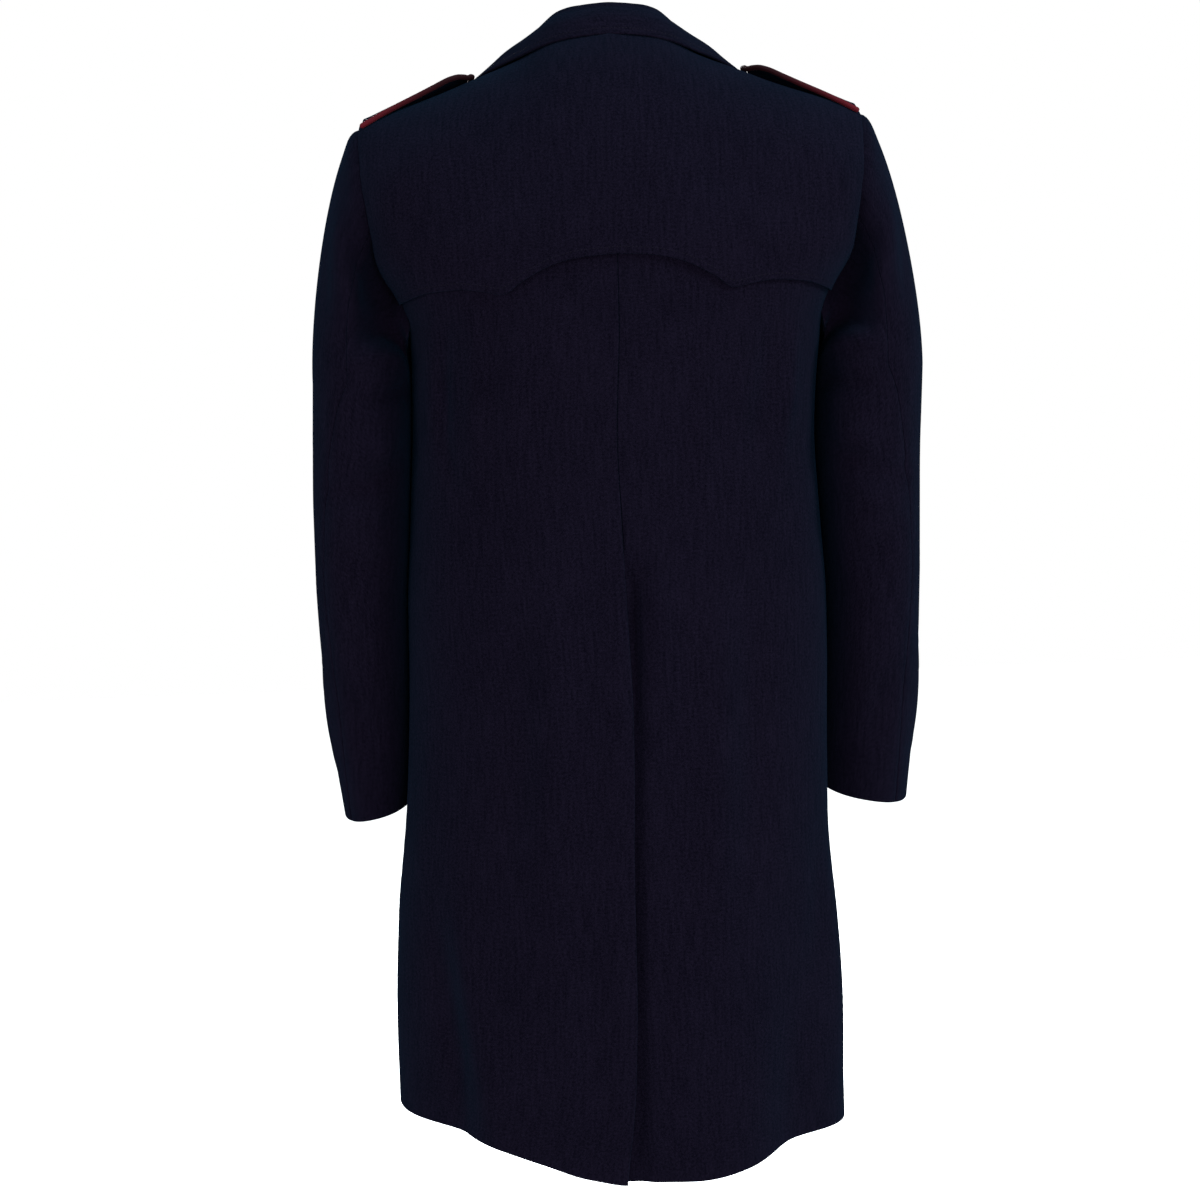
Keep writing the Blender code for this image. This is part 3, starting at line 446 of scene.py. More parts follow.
COLLAR_EDGE = (
    CollarEdge(0.00, 0.0000, 0.0125, Facing.BACK),
    CollarEdge(0.16, 0.0385, 0.0085, Facing.BACK),
    CollarEdge(0.28, 0.0640, 0.0025, Facing.BACK),
    CollarEdge(0.40, 0.0900, -0.0045, Facing.BACK),
    CollarEdge(0.50, 0.1120, -0.0075, Facing.BACK),
    CollarEdge(0.62, 0.1270, -0.0190, Facing.FRONT),
    CollarEdge(0.80, 0.1350, -0.0400, Facing.FRONT),
    CollarEdge(1.00, 0.1380, -0.0640, Facing.FRONT),
)
STRAP = (
    StrapStation(0.2262, 0.0260, 0.0002, 0.0048, -0.0080),
    StrapStation(0.2200, 0.0258, 0.0013, 0.0052, -0.0055),
    StrapStation(0.2100, 0.0255, 0.0031, 0.0060, -0.0030),
    StrapStation(0.2000, 0.0250, 0.0043, 0.0068, -0.0012),
    StrapStation(0.1800, 0.0240, 0.0068, 0.0082, 0.0012),
    StrapStation(0.1600, 0.0228, 0.0094, 0.0095, 0.0024),
    StrapStation(0.1450, 0.0213, 0.0110, 0.0100, 0.0031),
    StrapStation(0.1390, 0.0185, 0.0108, 0.0098, 0.0040),
    StrapStation(0.1345, 0.0145, 0.0098, 0.0092, 0.0052),
    StrapStation(0.1310, 0.0100, 0.0088, 0.0086, 0.0064),
    StrapStation(0.1285, 0.0046, 0.0080, 0.0080, 0.0072),
)

# The body's soft creases. Those in sight from behind follow the photograph.
BODY_CREASES = (
    Crease(0.011, 0.0016, ((49, -0.215), (48, -0.250), (51, -0.330), (49, -0.400))),
    Crease(0.010, -0.0021, ((57, -0.225), (61, -0.290), (62, -0.335), (58, -0.390))),
    Crease(0.009, 0.0010, ((66, -0.245), (69, -0.300), (70, -0.360))),
    Crease(0.012, 0.0010, ((38, -0.235), (37, -0.300), (40, -0.370))),
    Crease(0.013, -0.0016, ((-50, -0.225), (-52, -0.300), (-50, -0.375))),
    Crease(0.011, 0.0014, ((-60, -0.235), (-62, -0.310), (-59, -0.380))),
    Crease(0.010, -0.0013, ((-70, -0.250), (-72, -0.310), (-70, -0.350))),
    Crease(0.014, 0.0010, ((-34, -0.240), (-32, -0.330), (-34, -0.420))),
    Crease(0.013, -0.0022, ((-5, -0.430), (-6, -0.480), (-5, -0.560), (-7, -0.640))),
    Crease(0.015, 0.0013, ((-14, -0.440), (-16, -0.520), (-15, -0.600))),
    Crease(0.022, 0.0030, ((-36, -0.460), (-34, -0.560), (-32, -0.680), (-30, -0.860))),
    Crease(0.020, -0.0017, ((-47, -0.480), (-46, -0.600), (-45, -0.760))),
    Crease(0.018, 0.0018, ((26, -0.470), (24, -0.580), (25, -0.700), (22, -0.820))),
    Crease(0.019, -0.0014, ((37, -0.500), (36, -0.620), (39, -0.740))),
    Crease(0.018, 0.0024, ((55, -0.740), (52, -0.810), (46, -0.900), (40, -0.985))),
    Crease(0.016, -0.0026, ((62, -0.770), (60, -0.840), (57, -0.920), (55, -0.985))),
    Crease(0.017, 0.0013, ((72, -0.560), (73, -0.650), (70, -0.760))),
    Crease(0.017, -0.0013, ((-72, -0.700), (-70, -0.780), (-68, -0.860))),
    Crease(0.016, 0.0015, ((-80, -0.760), (-79, -0.850), (-80, -0.960))),
    Crease(0.020, -0.0012, ((12, -0.760), (10, -0.860), (13, -0.970))),
    Crease(0.018, 0.0012, ((-18, -0.760), (-20, -0.860), (-19, -0.980))),
    Crease(0.026, -0.0010, ((20, -0.080), (30, -0.120), (52, -0.150))),
    Crease(0.024, -0.0010, ((-22, -0.075), (-34, -0.115), (-56, -0.150))),
    Crease(0.018, 0.0009, ((44, -0.060), (58, -0.105), (70, -0.140))),
    Crease(0.018, 0.0009, ((-46, -0.060), (-60, -0.105), (-71, -0.140))),
    Crease(0.014, 0.0018, ((118, -0.215), (128, -0.250), (142, -0.300))),
    Crease(0.013, -0.0018, ((115, -0.245), (124, -0.285), (134, -0.340))),
    Crease(0.014, 0.0017, ((-117, -0.220), (-127, -0.260), (-140, -0.300))),
    Crease(0.013, -0.0017, ((-114, -0.250), (-122, -0.290), (-131, -0.330))),
    Crease(0.015, 0.0015, ((170, -0.385), (158, -0.395), (140, -0.420))),
    Crease(0.015, 0.0014, ((-168, -0.390), (-156, -0.402), (-141, -0.418))),
    Crease(0.016, -0.0015, ((168, -0.500), (155, -0.520), (138, -0.560))),
    Crease(0.016, -0.0014, ((-166, -0.510), (-152, -0.532), (-138, -0.560))),
    Crease(0.022, 0.0022, ((128, -0.560), (130, -0.680), (134, -0.820), (137, -0.960))),
    Crease(0.022, 0.0022, ((-127, -0.570), (-131, -0.690), (-133, -0.830), (-136, -0.960))),
    Crease(0.020, -0.0018, ((112, -0.600), (111, -0.740), (113, -0.900))),
    Crease(0.020, -0.0018, ((-110, -0.620), (-112, -0.760), (-112, -0.900))),
    Crease(0.024, 0.0012, ((96, -0.740), (98, -0.850), (95, -0.960))),
)
# The same creases serve both sleeves.
SLEEVE_CREASES = (
    Crease(0.009, -0.0024, ((168, -0.262), (140, -0.246), (112, -0.238), (88, -0.246))),
    Crease(0.009, 0.0018, ((158, -0.282), (132, -0.266), (106, -0.262), (82, -0.270))),
    Crease(0.010, -0.0018, ((160, -0.305), (136, -0.296), (112, -0.300), (92, -0.312))),
    Crease(0.010, 0.0014, ((40, -0.135), (62, -0.165), (84, -0.205), (98, -0.235))),
    Crease(0.012, -0.0013, ((30, -0.160), (50, -0.195), (68, -0.240))),
    Crease(0.012, 0.0016, ((128, -0.330), (108, -0.350), (88, -0.362))),
    Crease(0.012, -0.0017, ((122, -0.362), (98, -0.380), (76, -0.384), (58, -0.376))),
    Crease(0.013, 0.0015, ((112, -0.400), (90, -0.412), (66, -0.410))),
    Crease(0.014, -0.0012, ((120, -0.450), (100, -0.458), (78, -0.452))),
    Crease(0.011, -0.0030, ((232, -0.408), (256, -0.400), (280, -0.404), (304, -0.416))),
    Crease(0.012, 0.0024, ((224, -0.434), (250, -0.428), (276, -0.434), (300, -0.448))),
    Crease(0.011, -0.0024, ((226, -0.462), (252, -0.458), (280, -0.468))),
    Crease(0.013, 0.0018, ((234, -0.380), (258, -0.372), (284, -0.374))),
    Crease(0.014, -0.0016, ((300, -0.180), (286, -0.230), (270, -0.275))),
    Crease(0.014, 0.0016, ((316, -0.170), (304, -0.225), (292, -0.290))),
    Crease(0.018, -0.0012, ((70, -0.560), (84, -0.600), (92, -0.650))),
    Crease(0.018, 0.0012, ((36, -0.540), (30, -0.600), (34, -0.655))),
    Crease(0.020, -0.0010, ((8, -0.330), (2, -0.400), (10, -0.480))),
    Crease(0.017, -0.0013, ((290, -0.545), (300, -0.590), (296, -0.645))),
)
CREASE_SAMPLES = 26


@dataclass(frozen=True)
class CreaseField:
    """Turns a list of creases into a height over the cloth.

    metres_a_degree and the height make a flat map, on which distances are measured.
    """

    creases: tuple[Crease, ...]
    metres_a_degree: float
    strength: float = 1.0

    def height(self, degrees: Array, z: Array) -> Array:
        """How far the creases raise the cloth.

        Args:
            degrees: angles round the body or the sleeve.
            z: heights at the same places.

        Returns:
            Heights over the smooth form, in metres.
        """
        degrees, z = np.broadcast_arrays(degrees, z)
        total = np.zeros(degrees.shape)
        for crease in self.creases:
            stops = np.linspace(0, 1, len(crease.path))
            along = np.linspace(0, 1, CREASE_SAMPLES)
            angles = np.interp(along, stops, [p[0] for p in crease.path])
            heights = np.interp(along, stops, [p[1] for p in crease.path])
            near = np.full(degrees.shape, np.inf)
            where = np.zeros(degrees.shape)
            for t, angle, height in zip(along, angles, heights):
                across = ((degrees - angle + 180) % 360 - 180) * self.metres_a_degree
                distance = across**2 + (z - height) ** 2
                closer = distance < near
                near = np.where(closer, distance, near)
                where = np.where(closer, t, where)
            fade = np.sin(math.pi * np.clip(where, 0.02, 0.98)) ** 0.8
            total = total + crease.depth * fade * np.exp(-near / crease.width**2)
        return total * self.strength


@dataclass(frozen=True)
class CoatForm:
    """The form that the coat's cloth lies on, as its solids have it."""

    cloth: float = 0.002
    seam_gap: float = 0.0003
    dome: float = 2.3
    neck_point_x: float = 0.080
    neck_back_z: float = 0.019
    shoulder_tip_x: float = 0.2298
    button_stand: float = 0.030
    vent_top_z: float = -0.445
    vent_underlap: float = 0.045
    back_start_at_tip: float = 0.60
    skirt_rows: int = 13
    hole_rows: int = 8
    shoulder_rows: int = 5
    flap_row_on_hole: int = 2
    vent_lift_height: float = 0.0030
    vent_lift_rise: float = 0.07
    vent_lift_full_to: float = math.radians(24)
    vent_lift_out_to: float = math.radians(42)
    vent_edge_lift: float = 0.0032
    vent_edge_to: float = math.radians(9)
    vent_sink_depth: float = 0.0052
    vent_sink_full_to: float = math.radians(3.5)
    vent_sink_out_to: float = math.radians(10)
    front_lift_from: float = math.radians(140)
    front_lift_full: float = math.radians(166)
    creases: CreaseField = CreaseField(BODY_CREASES, 0.0033, 2.3)
    beside_arm: tuple[float, float] = (62, 30)

    @property
    def tip_row(self) -> int:
        """The row of a panel's edge at the shoulder tip."""
        return self.skirt_rows + self.hole_rows

    @property
    def last_row(self) -> int:
        """The row of a panel's edge at the neck point."""
        return self.tip_row + self.shoulder_rows

    @property
    def flap_row(self) -> int:
        """The row of the back where the flap's lower edge lies."""
        return self.skirt_rows + self.flap_row_on_hole

    @cached_property
    def section(self) -> dict[str, Curve]:
        """The curves of the sections over the level."""
        return {name: column(SECTIONS, "level", name) for name in ("half_width", "back", "front", "square")}

    @cached_property
    def curves(self) -> dict[str, Curve]:
        """The form's other curves by name."""
        return {
            "ridge": column(RIDGE, "x", "z"),
            "lean": column(LEAN, "level", "by"),
            "hem": column(HEM_LIFT, "angle", "lift"),
            "scallop": column(SCALLOPS, "x", "z"),
            "vent": column(VENT_EDGE, "z", "x"),
            "front_lift": column(FRONT_LIFT, "level", "by"),
            "lapel": column(LAPEL, "row", "share"),
        }

    def fold_depth(self, degrees: Array, level: Array) -> Array:
        """How far the skirt's folds stand out at an angle and level."""
        depth = np.zeros(np.broadcast(degrees, level).shape)
        for fold in FOLDS:
            away = (degrees - fold.angle + 180) % 360 - 180
            grow = smoothstep(fold.start, HEM_LEVEL, level)
            depth = depth + fold.depth * grow * np.exp(-((away / fold.width) ** 2))
        return depth

    def smooth_point(self, angle: Array, level: Array) -> Array:
        """Points of the coat's form without its soft creases.

        Args:
            angle: from the centre back round to the wearer's left, in radians.
            level: 0 at the underarm, 1 at the shoulder line, falling to the hem.

        Returns:
            Points, with x, y and z in the last axis.
        """
        angle, level = np.broadcast_arrays(np.asarray(angle, float), np.asarray(level, float))
        degrees = (np.degrees(angle) + 180) % 360 - 180
        depth = np.where(np.cos(angle) > 0, self.section["back"](level), self.section["front"](level))
        square = self.section["square"](level)
        across = np.abs(np.sin(angle) / self.section["half_width"](level)) ** square
        along = np.abs(np.cos(angle) / depth) ** square
        radius = (across + along) ** (-1 / square) + self.fold_depth(degrees, level)
        over = np.clip(level, 0, 1) * math.pi / 2
        dome = (np.sin(over) ** self.dome + np.cos(over) ** self.dome) ** (-1 / self.dome)
        x = radius * np.sin(angle)
        y = radius * np.cos(angle) * dome * np.cos(over)
        lift = self.curves["hem"](degrees) * smoothstep(HEM_LIFT_FROM, HEM_LEVEL, level)
        low = UNDERARM_Z + np.minimum(level, 0) * LEVEL_STEP + lift
        z = low + (self.curves["ridge"](np.abs(x)) - UNDERARM_Z) * dome * np.sin(over)
        return np.stack([x + self.curves["lean"](level), y, z], axis=-1)

    def normal(self, angle: Array, level: Array) -> Array:
        """The outward normals of the coat's form."""
        small = 2e-3
        angle, level = np.broadcast_arrays(np.asarray(angle, float), np.asarray(level, float))
        round_it = self.smooth_point(angle + small, level) - self.smooth_point(angle - small, level)
        higher = self.smooth_point(angle, np.minimum(level + small, 1))
        up = higher - self.smooth_point(angle, level - small)
        return unit(np.cross(up, round_it))

    def crease_height(self, angle: Array, points: Array) -> Array:
        """The creases' height on the body; beside the arms nothing stands out.

        Args:
            angle: the points' angles from the centre back.
            points: the points of the smooth form.

        Returns:
            Heights over the form, in metres.
        """
        degrees = np.degrees(angle)
        z = points[..., 2]
        height = self.creases.height(degrees, z)
        middle, reach = 90, self.beside_arm[1]
        away = np.abs(np.abs((degrees + 180) % 360 - 180) - middle)
        hidden = (1 - smoothstep(reach - 14, reach, away)) * smoothstep(-0.72, -0.68, z)
        height = height * (1 - hidden)
        waves = np.sin(np.radians(degrees) * 9.0 + z * 17.0) * np.sin(z * 23.0 + np.radians(degrees) * 4.0)
        return height + 0.0004 * waves * (1 - hidden)

    def point(self, angle: Array, level: Array) -> tuple[Array, Array]:
        """Points of the creased cloth and the form's normals there."""
        points, normals = self.smooth_point(angle, level), self.normal(angle, level)
        return points + normals * self.crease_height(angle, points)[..., None], normals

    def level_of(self, x: Array, z: Array) -> Array:
        """The level of the point at x and z, on the back or the front."""
        ridge = self.curves["ridge"](np.abs(x))
        share = np.clip((z - UNDERARM_Z) / (ridge - UNDERARM_Z), 0, 1 - 1e-9) ** self.dome
        above = np.arctan((share / (1 - share)) ** (1 / self.dome)) / (math.pi / 2)
        return np.where(z > UNDERARM_Z, above, (z - UNDERARM_Z) / LEVEL_STEP)

    def angle_of(self, x: Array, level: Array, facing: Facing = Facing.BACK) -> Array:
        """The angle on the back or the front where the form at this level has this x."""
        x, level = np.broadcast_arrays(np.asarray(x, float), np.asarray(level, float))
        low, high = np.full(x.shape, -math.pi / 2), np.full(x.shape, math.pi / 2)
        for _ in range(26):
            middle = (low + high) / 2
            turned = middle if facing is Facing.BACK else math.pi - middle
            past = self.smooth_point(turned, level)[..., 0] > x
            high, low = np.where(past, middle, high), np.where(past, low, middle)
        middle = (low + high) / 2
        return middle if facing is Facing.BACK else math.pi - middle

    @cached_property
    def edges(self) -> dict[Facing, tuple[Curve, Curve]]:
        """The angle and level, over the row, of a panel's side seam, armhole and shoulder."""
        found = {}
        quarter = math.pi / 2
        for facing, armhole in ARMHOLES.items():
            levels = spread(HEM_LEVEL, 0, self.skirt_rows) + [0.0]
            levels += [float(self.level_of(p.x, p.z)) for p in armhole]
            angles = [quarter] * (self.skirt_rows + 1)
            angles += [float(self.angle_of(p.x, self.level_of(p.x, p.z), facing)) for p in armhole]
            across = np.linspace(self.shoulder_tip_x, self.neck_point_x, self.shoulder_rows + 1)
            levels += [1.0] * len(across)
            angles += list(self.angle_of(across, 1.0, facing))
            index = np.arange(len(levels))
            found[facing] = (smooth_curve(index, angles), smooth_curve(index, levels))
        return found

    @cached_property
    def back_start(self) -> Curve:
        """The centre back's level over the row."""
        neck = float(self.level_of(0.0, self.neck_back_z))
        levels = spread(HEM_LEVEL, 0, self.skirt_rows)
        levels += spread(0, self.back_start_at_tip, self.hole_rows)
        levels += list(np.linspace(self.back_start_at_tip, neck, self.shoulder_rows + 1))
        return smooth_curve(np.arange(len(levels)), levels)

    def first_angle(self, side: Side, level: Array) -> Array:
        """The angle where a half of the back starts: at the centre seam, or at the vent's edge."""
        z = UNDERARM_Z + np.minimum(level, 0) * LEVEL_STEP
        lean, edge = self.curves["lean"](level), self.curves["vent"](z)
        x = lean + edge
        if side is Side.RIGHT:
            under = 1 - smoothstep(self.vent_top_z - 0.03, self.vent_top_z, z)
            x = lean - edge * (1 - under) - self.vent_underlap * under
        return np.where(level < 0, self.angle_of(x, level), 0.0)

    def back_place(self, shares: Array, rows: Array, side: Side) -> tuple[Array, Array]:
        """Angles and levels of half the back, measured as on the left half."""
        start = self.back_start(rows)
        edge_angle, edge_level = (curve(rows) for curve in self.edges[Facing.BACK])
        first = self.first_angle(side, start)
        return first + (edge_angle - first) * shares, start + (edge_level - start) * shares**2

    def flap_edge_row(self, shares: Array) -> Array:
        """The row, at each share of the half width, where the flap's lower edge lies."""
        low = np.full(np.shape(shares), float(self.skirt_rows - 3))
        high = np.full(np.shape(shares), float(self.tip_row))
        for _ in range(22):
            middle = (low + high) / 2
            points = self.smooth_point(*self.back_place(shares, middle, Side.LEFT))
            above = points[..., 2] > self.curves["scallop"](points[..., 0])
            high, low = np.where(above, middle, high), np.where(above, low, middle)
        return np.where(shares > 0.9999, self.flap_row, (low + high) / 2)

    def back_rows(self, shares: Array, index: Array) -> Array:
        """Row numbers of the back, drawn so that one row runs along the flap's edge."""
        edge = self.flap_edge_row(shares)
        below = edge * index / self.flap_row
        above = edge + (self.last_row - edge) * (index - self.flap_row) / (self.last_row - self.flap_row)
        return np.where(index < self.flap_row, below, above)

    def vent_lift(self, angle: Array, z: Array) -> Array:
        """How far the left back stands off the right one, round the vent."""
        fade = 1 - smoothstep(self.vent_lift_full_to, self.vent_lift_out_to, np.abs(angle))
        rise = 1 - smoothstep(self.vent_top_z, self.vent_top_z + self.vent_lift_rise, z)
        edge = 1 - smoothstep(0.0, self.vent_edge_to, angle)
        open_below = 1 - smoothstep(self.vent_top_z - 0.10, self.vent_top_z, z)
        return self.vent_lift_height * fade * rise + self.vent_edge_lift * edge * open_below

    def vent_sink(self, angle: Array, z: Array) -> Array:
        """How far the right back sinks in beside and under the vent's edge."""
        near = 1 - smoothstep(self.vent_sink_full_to, self.vent_sink_out_to, -angle)
        open_below = 1 - smoothstep(self.vent_top_z - 0.06, self.vent_top_z + 0.02, z)
        return self.vent_sink_depth * near * open_below

    def back(self, side: Side, shares: Array, index: Array) -> tuple[Array, Array]:
        """Points and normals of one half of the back.

        Args:
            side: the half.
            shares: 0 at the centre, 1 at the outer edge, along the columns.
            index: row numbers from the hem to the shoulder, down the rows.

        Returns:
            The cloth's outer points and its normals.
        """
        angles, levels = self.back_place(shares, self.back_rows(shares, index), side)
        angles = angles * side.value
        points, normals = self.point(angles, levels)
        if side is Side.LEFT:
            points = points + normals * self.vent_lift(angles, points[..., 2])[..., None]
        else:
            points = points - normals * self.vent_sink(angles, points[..., 2])[..., None]
        return points, normals

    def roll_point(self, along: Array) -> tuple[Array, Array]:
        """The x and z of the roll line, 0 at the break point and 1 at the neck."""
        share = np.linspace(0, 1, len(ROLL_LINE))
        x, z = (smooth_curve(share, [getattr(p, axis) for p in ROLL_LINE]) for axis in "xz")
        return x(along), z(along)

    def front_edge(self, rows: Array) -> tuple[Array, Array]:
        """Angles and levels of the front's free edge: the closure, then the roll line."""
        upper = np.clip((rows - self.skirt_rows) / (self.last_row - self.skirt_rows), 0, 1)
        x, z = self.roll_point(upper)
        closed = rows <= self.skirt_rows
        level = np.where(closed, HEM_LEVEL * (1 - rows / self.skirt_rows), self.level_of(x, z))
        x = np.where(closed, -self.button_stand, x)
        return self.angle_of(x + self.curves["lean"](level), level, Facing.FRONT), level

    def front(self, side: Side, shares: Array, rows: Array) -> tuple[Array, Array]:
        """Points and normals of a front: share 0 at the side, 1 at the free edge."""
        edge_angle, edge_level = (curve(rows) for curve in self.edges[Facing.FRONT])
        free_angle, free_level = self.front_edge(rows)
        angles = edge_angle + (free_angle - edge_angle) * shares
        levels = edge_level + (free_level - edge_level) * shares
        points, normals = self.point(angles * side.value, levels)
        if side is Side.LEFT:
            lift = self.curves["front_lift"](levels)
            lift = lift * smoothstep(self.front_lift_from, self.front_lift_full, angles)
            points = points + normals * lift[..., None]
        return points, normals

    def armhole(self, side: Side, places: Array) -> tuple[Array, Array]:
        """The armhole's points and body normals, from the tip down the back and up the front."""
        down = places <= self.hole_rows
        found = []
        for facing, rows in (
            (Facing.BACK, self.tip_row - places),
            (Facing.FRONT, self.skirt_rows + places - self.hole_rows),
        ):
            rows = np.clip(rows, self.skirt_rows, self.tip_row)
            angle, level = (curve(rows) for curve in self.edges[facing])
            found.append(self.point(angle * side.value, level))
        (back, back_normals), (front, front_normals) = found
        pick = down[:, None]
        return np.where(pick, back, front), np.where(pick, back_normals, front_normals)


# Cloth as grids of points


@dataclass(frozen=True)
class Edging:
    """How a border of a piece of cloth is finished."""

    draw_in: float = 0.0
    dip: float = 0.0
    dip_reach: float = 0.003
    pucker: float = 0.0
    pucker_pitch: float = 0.017
    pucker_reach: float = 0.009
    lines: tuple[float, ...] = (0.0002, 0.0005, 0.0009, 0.0014, 0.0024)


FOLDED = Edging()
SEAMED = Edging(draw_in=0.00015, dip=0.00045, pucker=0.00022)
SEWN_CLOSE = Edging(draw_in=0.00003, dip=0.00045, pucker=0.00022)
PRESSED_HEM = Edging(dip=0.0)


@dataclass
class Cloth:
    """A piece of cloth as a grid of outer points, normals, places on the cut and thickness."""

    points: Array
    normals: Array
    thickness: Array
    cut: Array = field(default_factory=lambda: np.zeros(0))
    edging: dict[Border, Edging] = field(default_factory=dict)
    upright: bool = False

    def __post_init__(self) -> None:
        """Works out the places on the cut from lengths along the cloth."""
        self.thickness = np.broadcast_to(self.thickness, self.points.shape[:2]).copy()
        if not self.cut.size:
            self.cut = self.lay_flat()

    def lay_flat(self) -> Array:
        """The cut's own coordinates, in metres: across it and along its grain.

        A panel that hangs keeps its grain upright, counted from the coat's middle plane.
        """
        seen = self.points * np.array([1.0, 1.0, 0.0]) if self.upright else self.points
        across = np.linalg.norm(np.diff(seen, axis=1), axis=-1)
        along = np.linalg.norm(np.diff(self.points, axis=0), axis=-1)
        u = np.concatenate([np.zeros((len(across), 1)), np.cumsum(across, axis=1)], axis=1)
        v = np.concatenate([np.zeros((1, along.shape[1])), np.cumsum(along, axis=0)], axis=0)
        if not self.upright:
            return np.stack([u - u[:, -1:] / 2, v], axis=-1)
        x, height = self.points[..., 0], self.points[..., 2]
        rising = x * np.sign(x[:, -1:] - x[:, :1])
        middle = np.array([np.interp(0.0, place, run) for place, run in zip(rising, u)])
        v = v.mean(axis=1, keepdims=True) + height - height.mean(axis=1, keepdims=True)
        return np.stack([u - middle[:, None], v], axis=-1)

    def flat_size(self) -> tuple[tuple[float, float], float]:
        """The cut's width and length, and its area, measured along the cloth."""
        across = np.linalg.norm(np.diff(self.points, axis=1), axis=-1).sum(1).max()
        along = np.linalg.norm(np.diff(self.points, axis=0), axis=-1).sum(0).max()
        diagonals = self.points[1:, 1:] - self.points[:-1, :-1], self.points[1:, :-1] - self.points[:-1, 1:]
        area = np.linalg.norm(np.cross(*diagonals), axis=-1).sum() / 2
        width, length = round(float(across), 3), round(float(along), 3)
        return (width, length), min(round(float(area), 4), width * length)

    def _parts(self) -> tuple[Array, ...]:
        """The arrays that every line of the grid has."""
        return self.points, self.normals, self.cut, self.thickness

    def add_lines(self, border: Border, distances: Sequence[float]) -> None:
        """Adds lines of points close inside a border.

        Args:
            border: the edge.
            distances: how far in each new line lies, rising.
        """
        axis, from_end = border.value
        parts = [np.moveaxis(part, axis, 0) for part in self._parts()]
        if from_end:
            parts = [part[::-1] for part in parts]
        gap = np.linalg.norm(parts[0][1] - parts[0][0], axis=-1)
        room = np.maximum(gap, distances[-1] * 1.3)
        added = []
        for part in parts:
            lines = [part[0]]
            for distance in distances:
                share = distance / room
                share = share[:, None] if part.ndim == 3 else share
                lines.append(part[0] + (part[1] - part[0]) * share)
            added.append(np.concatenate([np.array(lines), part[1:]]))
        if from_end:
            added = [part[::-1] for part in added]
        self.points, self.normals, self.cut, self.thickness = (np.moveaxis(part, 0, axis) for part in added)

    def line_inside(self, border: Border, distance: float) -> tuple[Array, Array]:
        """The points and normals of a line at one distance inside a border, for a row of sewing."""
        axis, from_end = border.value
        points, normals = (np.moveaxis(part, axis, 0) for part in (self.points, self.normals))
        if from_end:
            points, normals = points[::-1], normals[::-1]
        reach = np.linalg.norm(np.diff(points, axis=0), axis=-1).cumsum(axis=0)
        reach = np.concatenate([np.zeros((1, points.shape[1])), reach])
        rows = [[], []]
        for k in range(points.shape[1]):
            for row, part in zip(rows, (points, normals)):
                row.append([np.interp(distance, reach[:, k], part[:, k, axis]) for axis in range(3)])
        return np.array(rows[0]), unit(np.array(rows[1]))

    def walls(self) -> tuple[Array, Array]:
        """The outer and inner points, with the borders rounded, drawn in and puckered."""
        for border, edging in self.edging.items():
            self.add_lines(border, edging.lines)
        radius = self.thickness / 2
        inset, dip, shift = np.zeros_like(radius), np.zeros_like(radius), np.zeros_like(self.points)
        for border, edging in self.edging.items():
            axis, from_end = border.value
            points = np.moveaxis(self.points, axis, 0)
            line, inner = (points[-1], points[-2]) if from_end else (points[0], points[1])
            reach = np.linalg.norm(points - line[None], axis=-1)
            run = np.concatenate([[0], np.cumsum(np.linalg.norm(np.diff(line, axis=0), axis=-1))])
            inward = unit(inner - line)[None] * edging.draw_in
            reach, round_to = np.moveaxis(reach, 0, axis), np.minimum(np.moveaxis(reach, 0, axis), radius)
            curved = radius - np.sqrt(np.maximum(radius**2 - (radius - round_to) ** 2, 0))
            inset = np.maximum(inset, np.minimum(curved, radius * 0.85))
            dip = dip + edging.dip * np.exp(-((reach / edging.dip_reach) ** 2))
            wave = np.sin(2 * math.pi * run / edging.pucker_pitch + 2.1 * np.sin(run * 37))
            wave = wave[None, :] if axis == 0 else wave[:, None]
            dip = dip + edging.pucker * wave * np.exp(-reach / edging.pucker_reach)
            pull = np.exp(-((reach / 0.002) ** 2))[..., None]
            inward = inward if axis == 0 else np.moveaxis(inward, 0, 1)
            shift = shift + inward * pull
        base = self.points + shift - self.normals * dip[..., None]
        outer = base - self.normals * inset[..., None]
        inner = base - self.normals * (self.thickness - inset)[..., None]
        return outer, inner

    def build(self, name: str) -> bpy.types.Object:
        """Makes the closed shell as an object.

        Args:
            name: the piece's name.

        Returns:
            The new object, its place in its mesh.
        """
        outer, inner = self.walls()
        rows, columns = outer.shape[:2]
        number = np.arange(rows * columns).reshape(rows, columns)
        a, b, d, e = number[:-1, :-1], number[:-1, 1:], number[1:, :-1], number[1:, 1:]
        front = np.stack([a, b, e, d], axis=-1).reshape(-1, 4)
        facing = np.cross(outer[:-1, 1:] - outer[:-1, :-1], outer[1:, :-1] - outer[:-1, :-1])
        if np.sum(facing * self.normals[:-1, :-1]) < 0:
            front = front[:, ::-1]
        rim = np.concatenate([number[0], number[1:, -1], number[-1, -2::-1], number[-2:0:-1, 0]])
        after = np.roll(rim, -1)
        count = rows * columns
        sides = np.stack([rim, rim + count, after + count, after], axis=-1)
        if not np.array_equal(front[0], np.array([a[0, 0], b[0, 0], e[0, 0], d[0, 0]])):
            sides = sides[:, ::-1]
        faces = np.concatenate([front, front[:, ::-1] + count, sides])
        mesh = bpy.data.meshes.new(name)
        vertices = np.concatenate([outer.reshape(-1, 3), inner.reshape(-1, 3)])
        mesh.from_pydata(vertices.tolist(), [], faces.tolist())
        layer = mesh.uv_layers.new(name="cut")
        flat = np.concatenate([self.cut.reshape(-1, 2)] * 2)
        layer.data.foreach_set("uv", flat[faces.ravel()].astype(np.float32).ravel())
        mesh.shade_smooth()
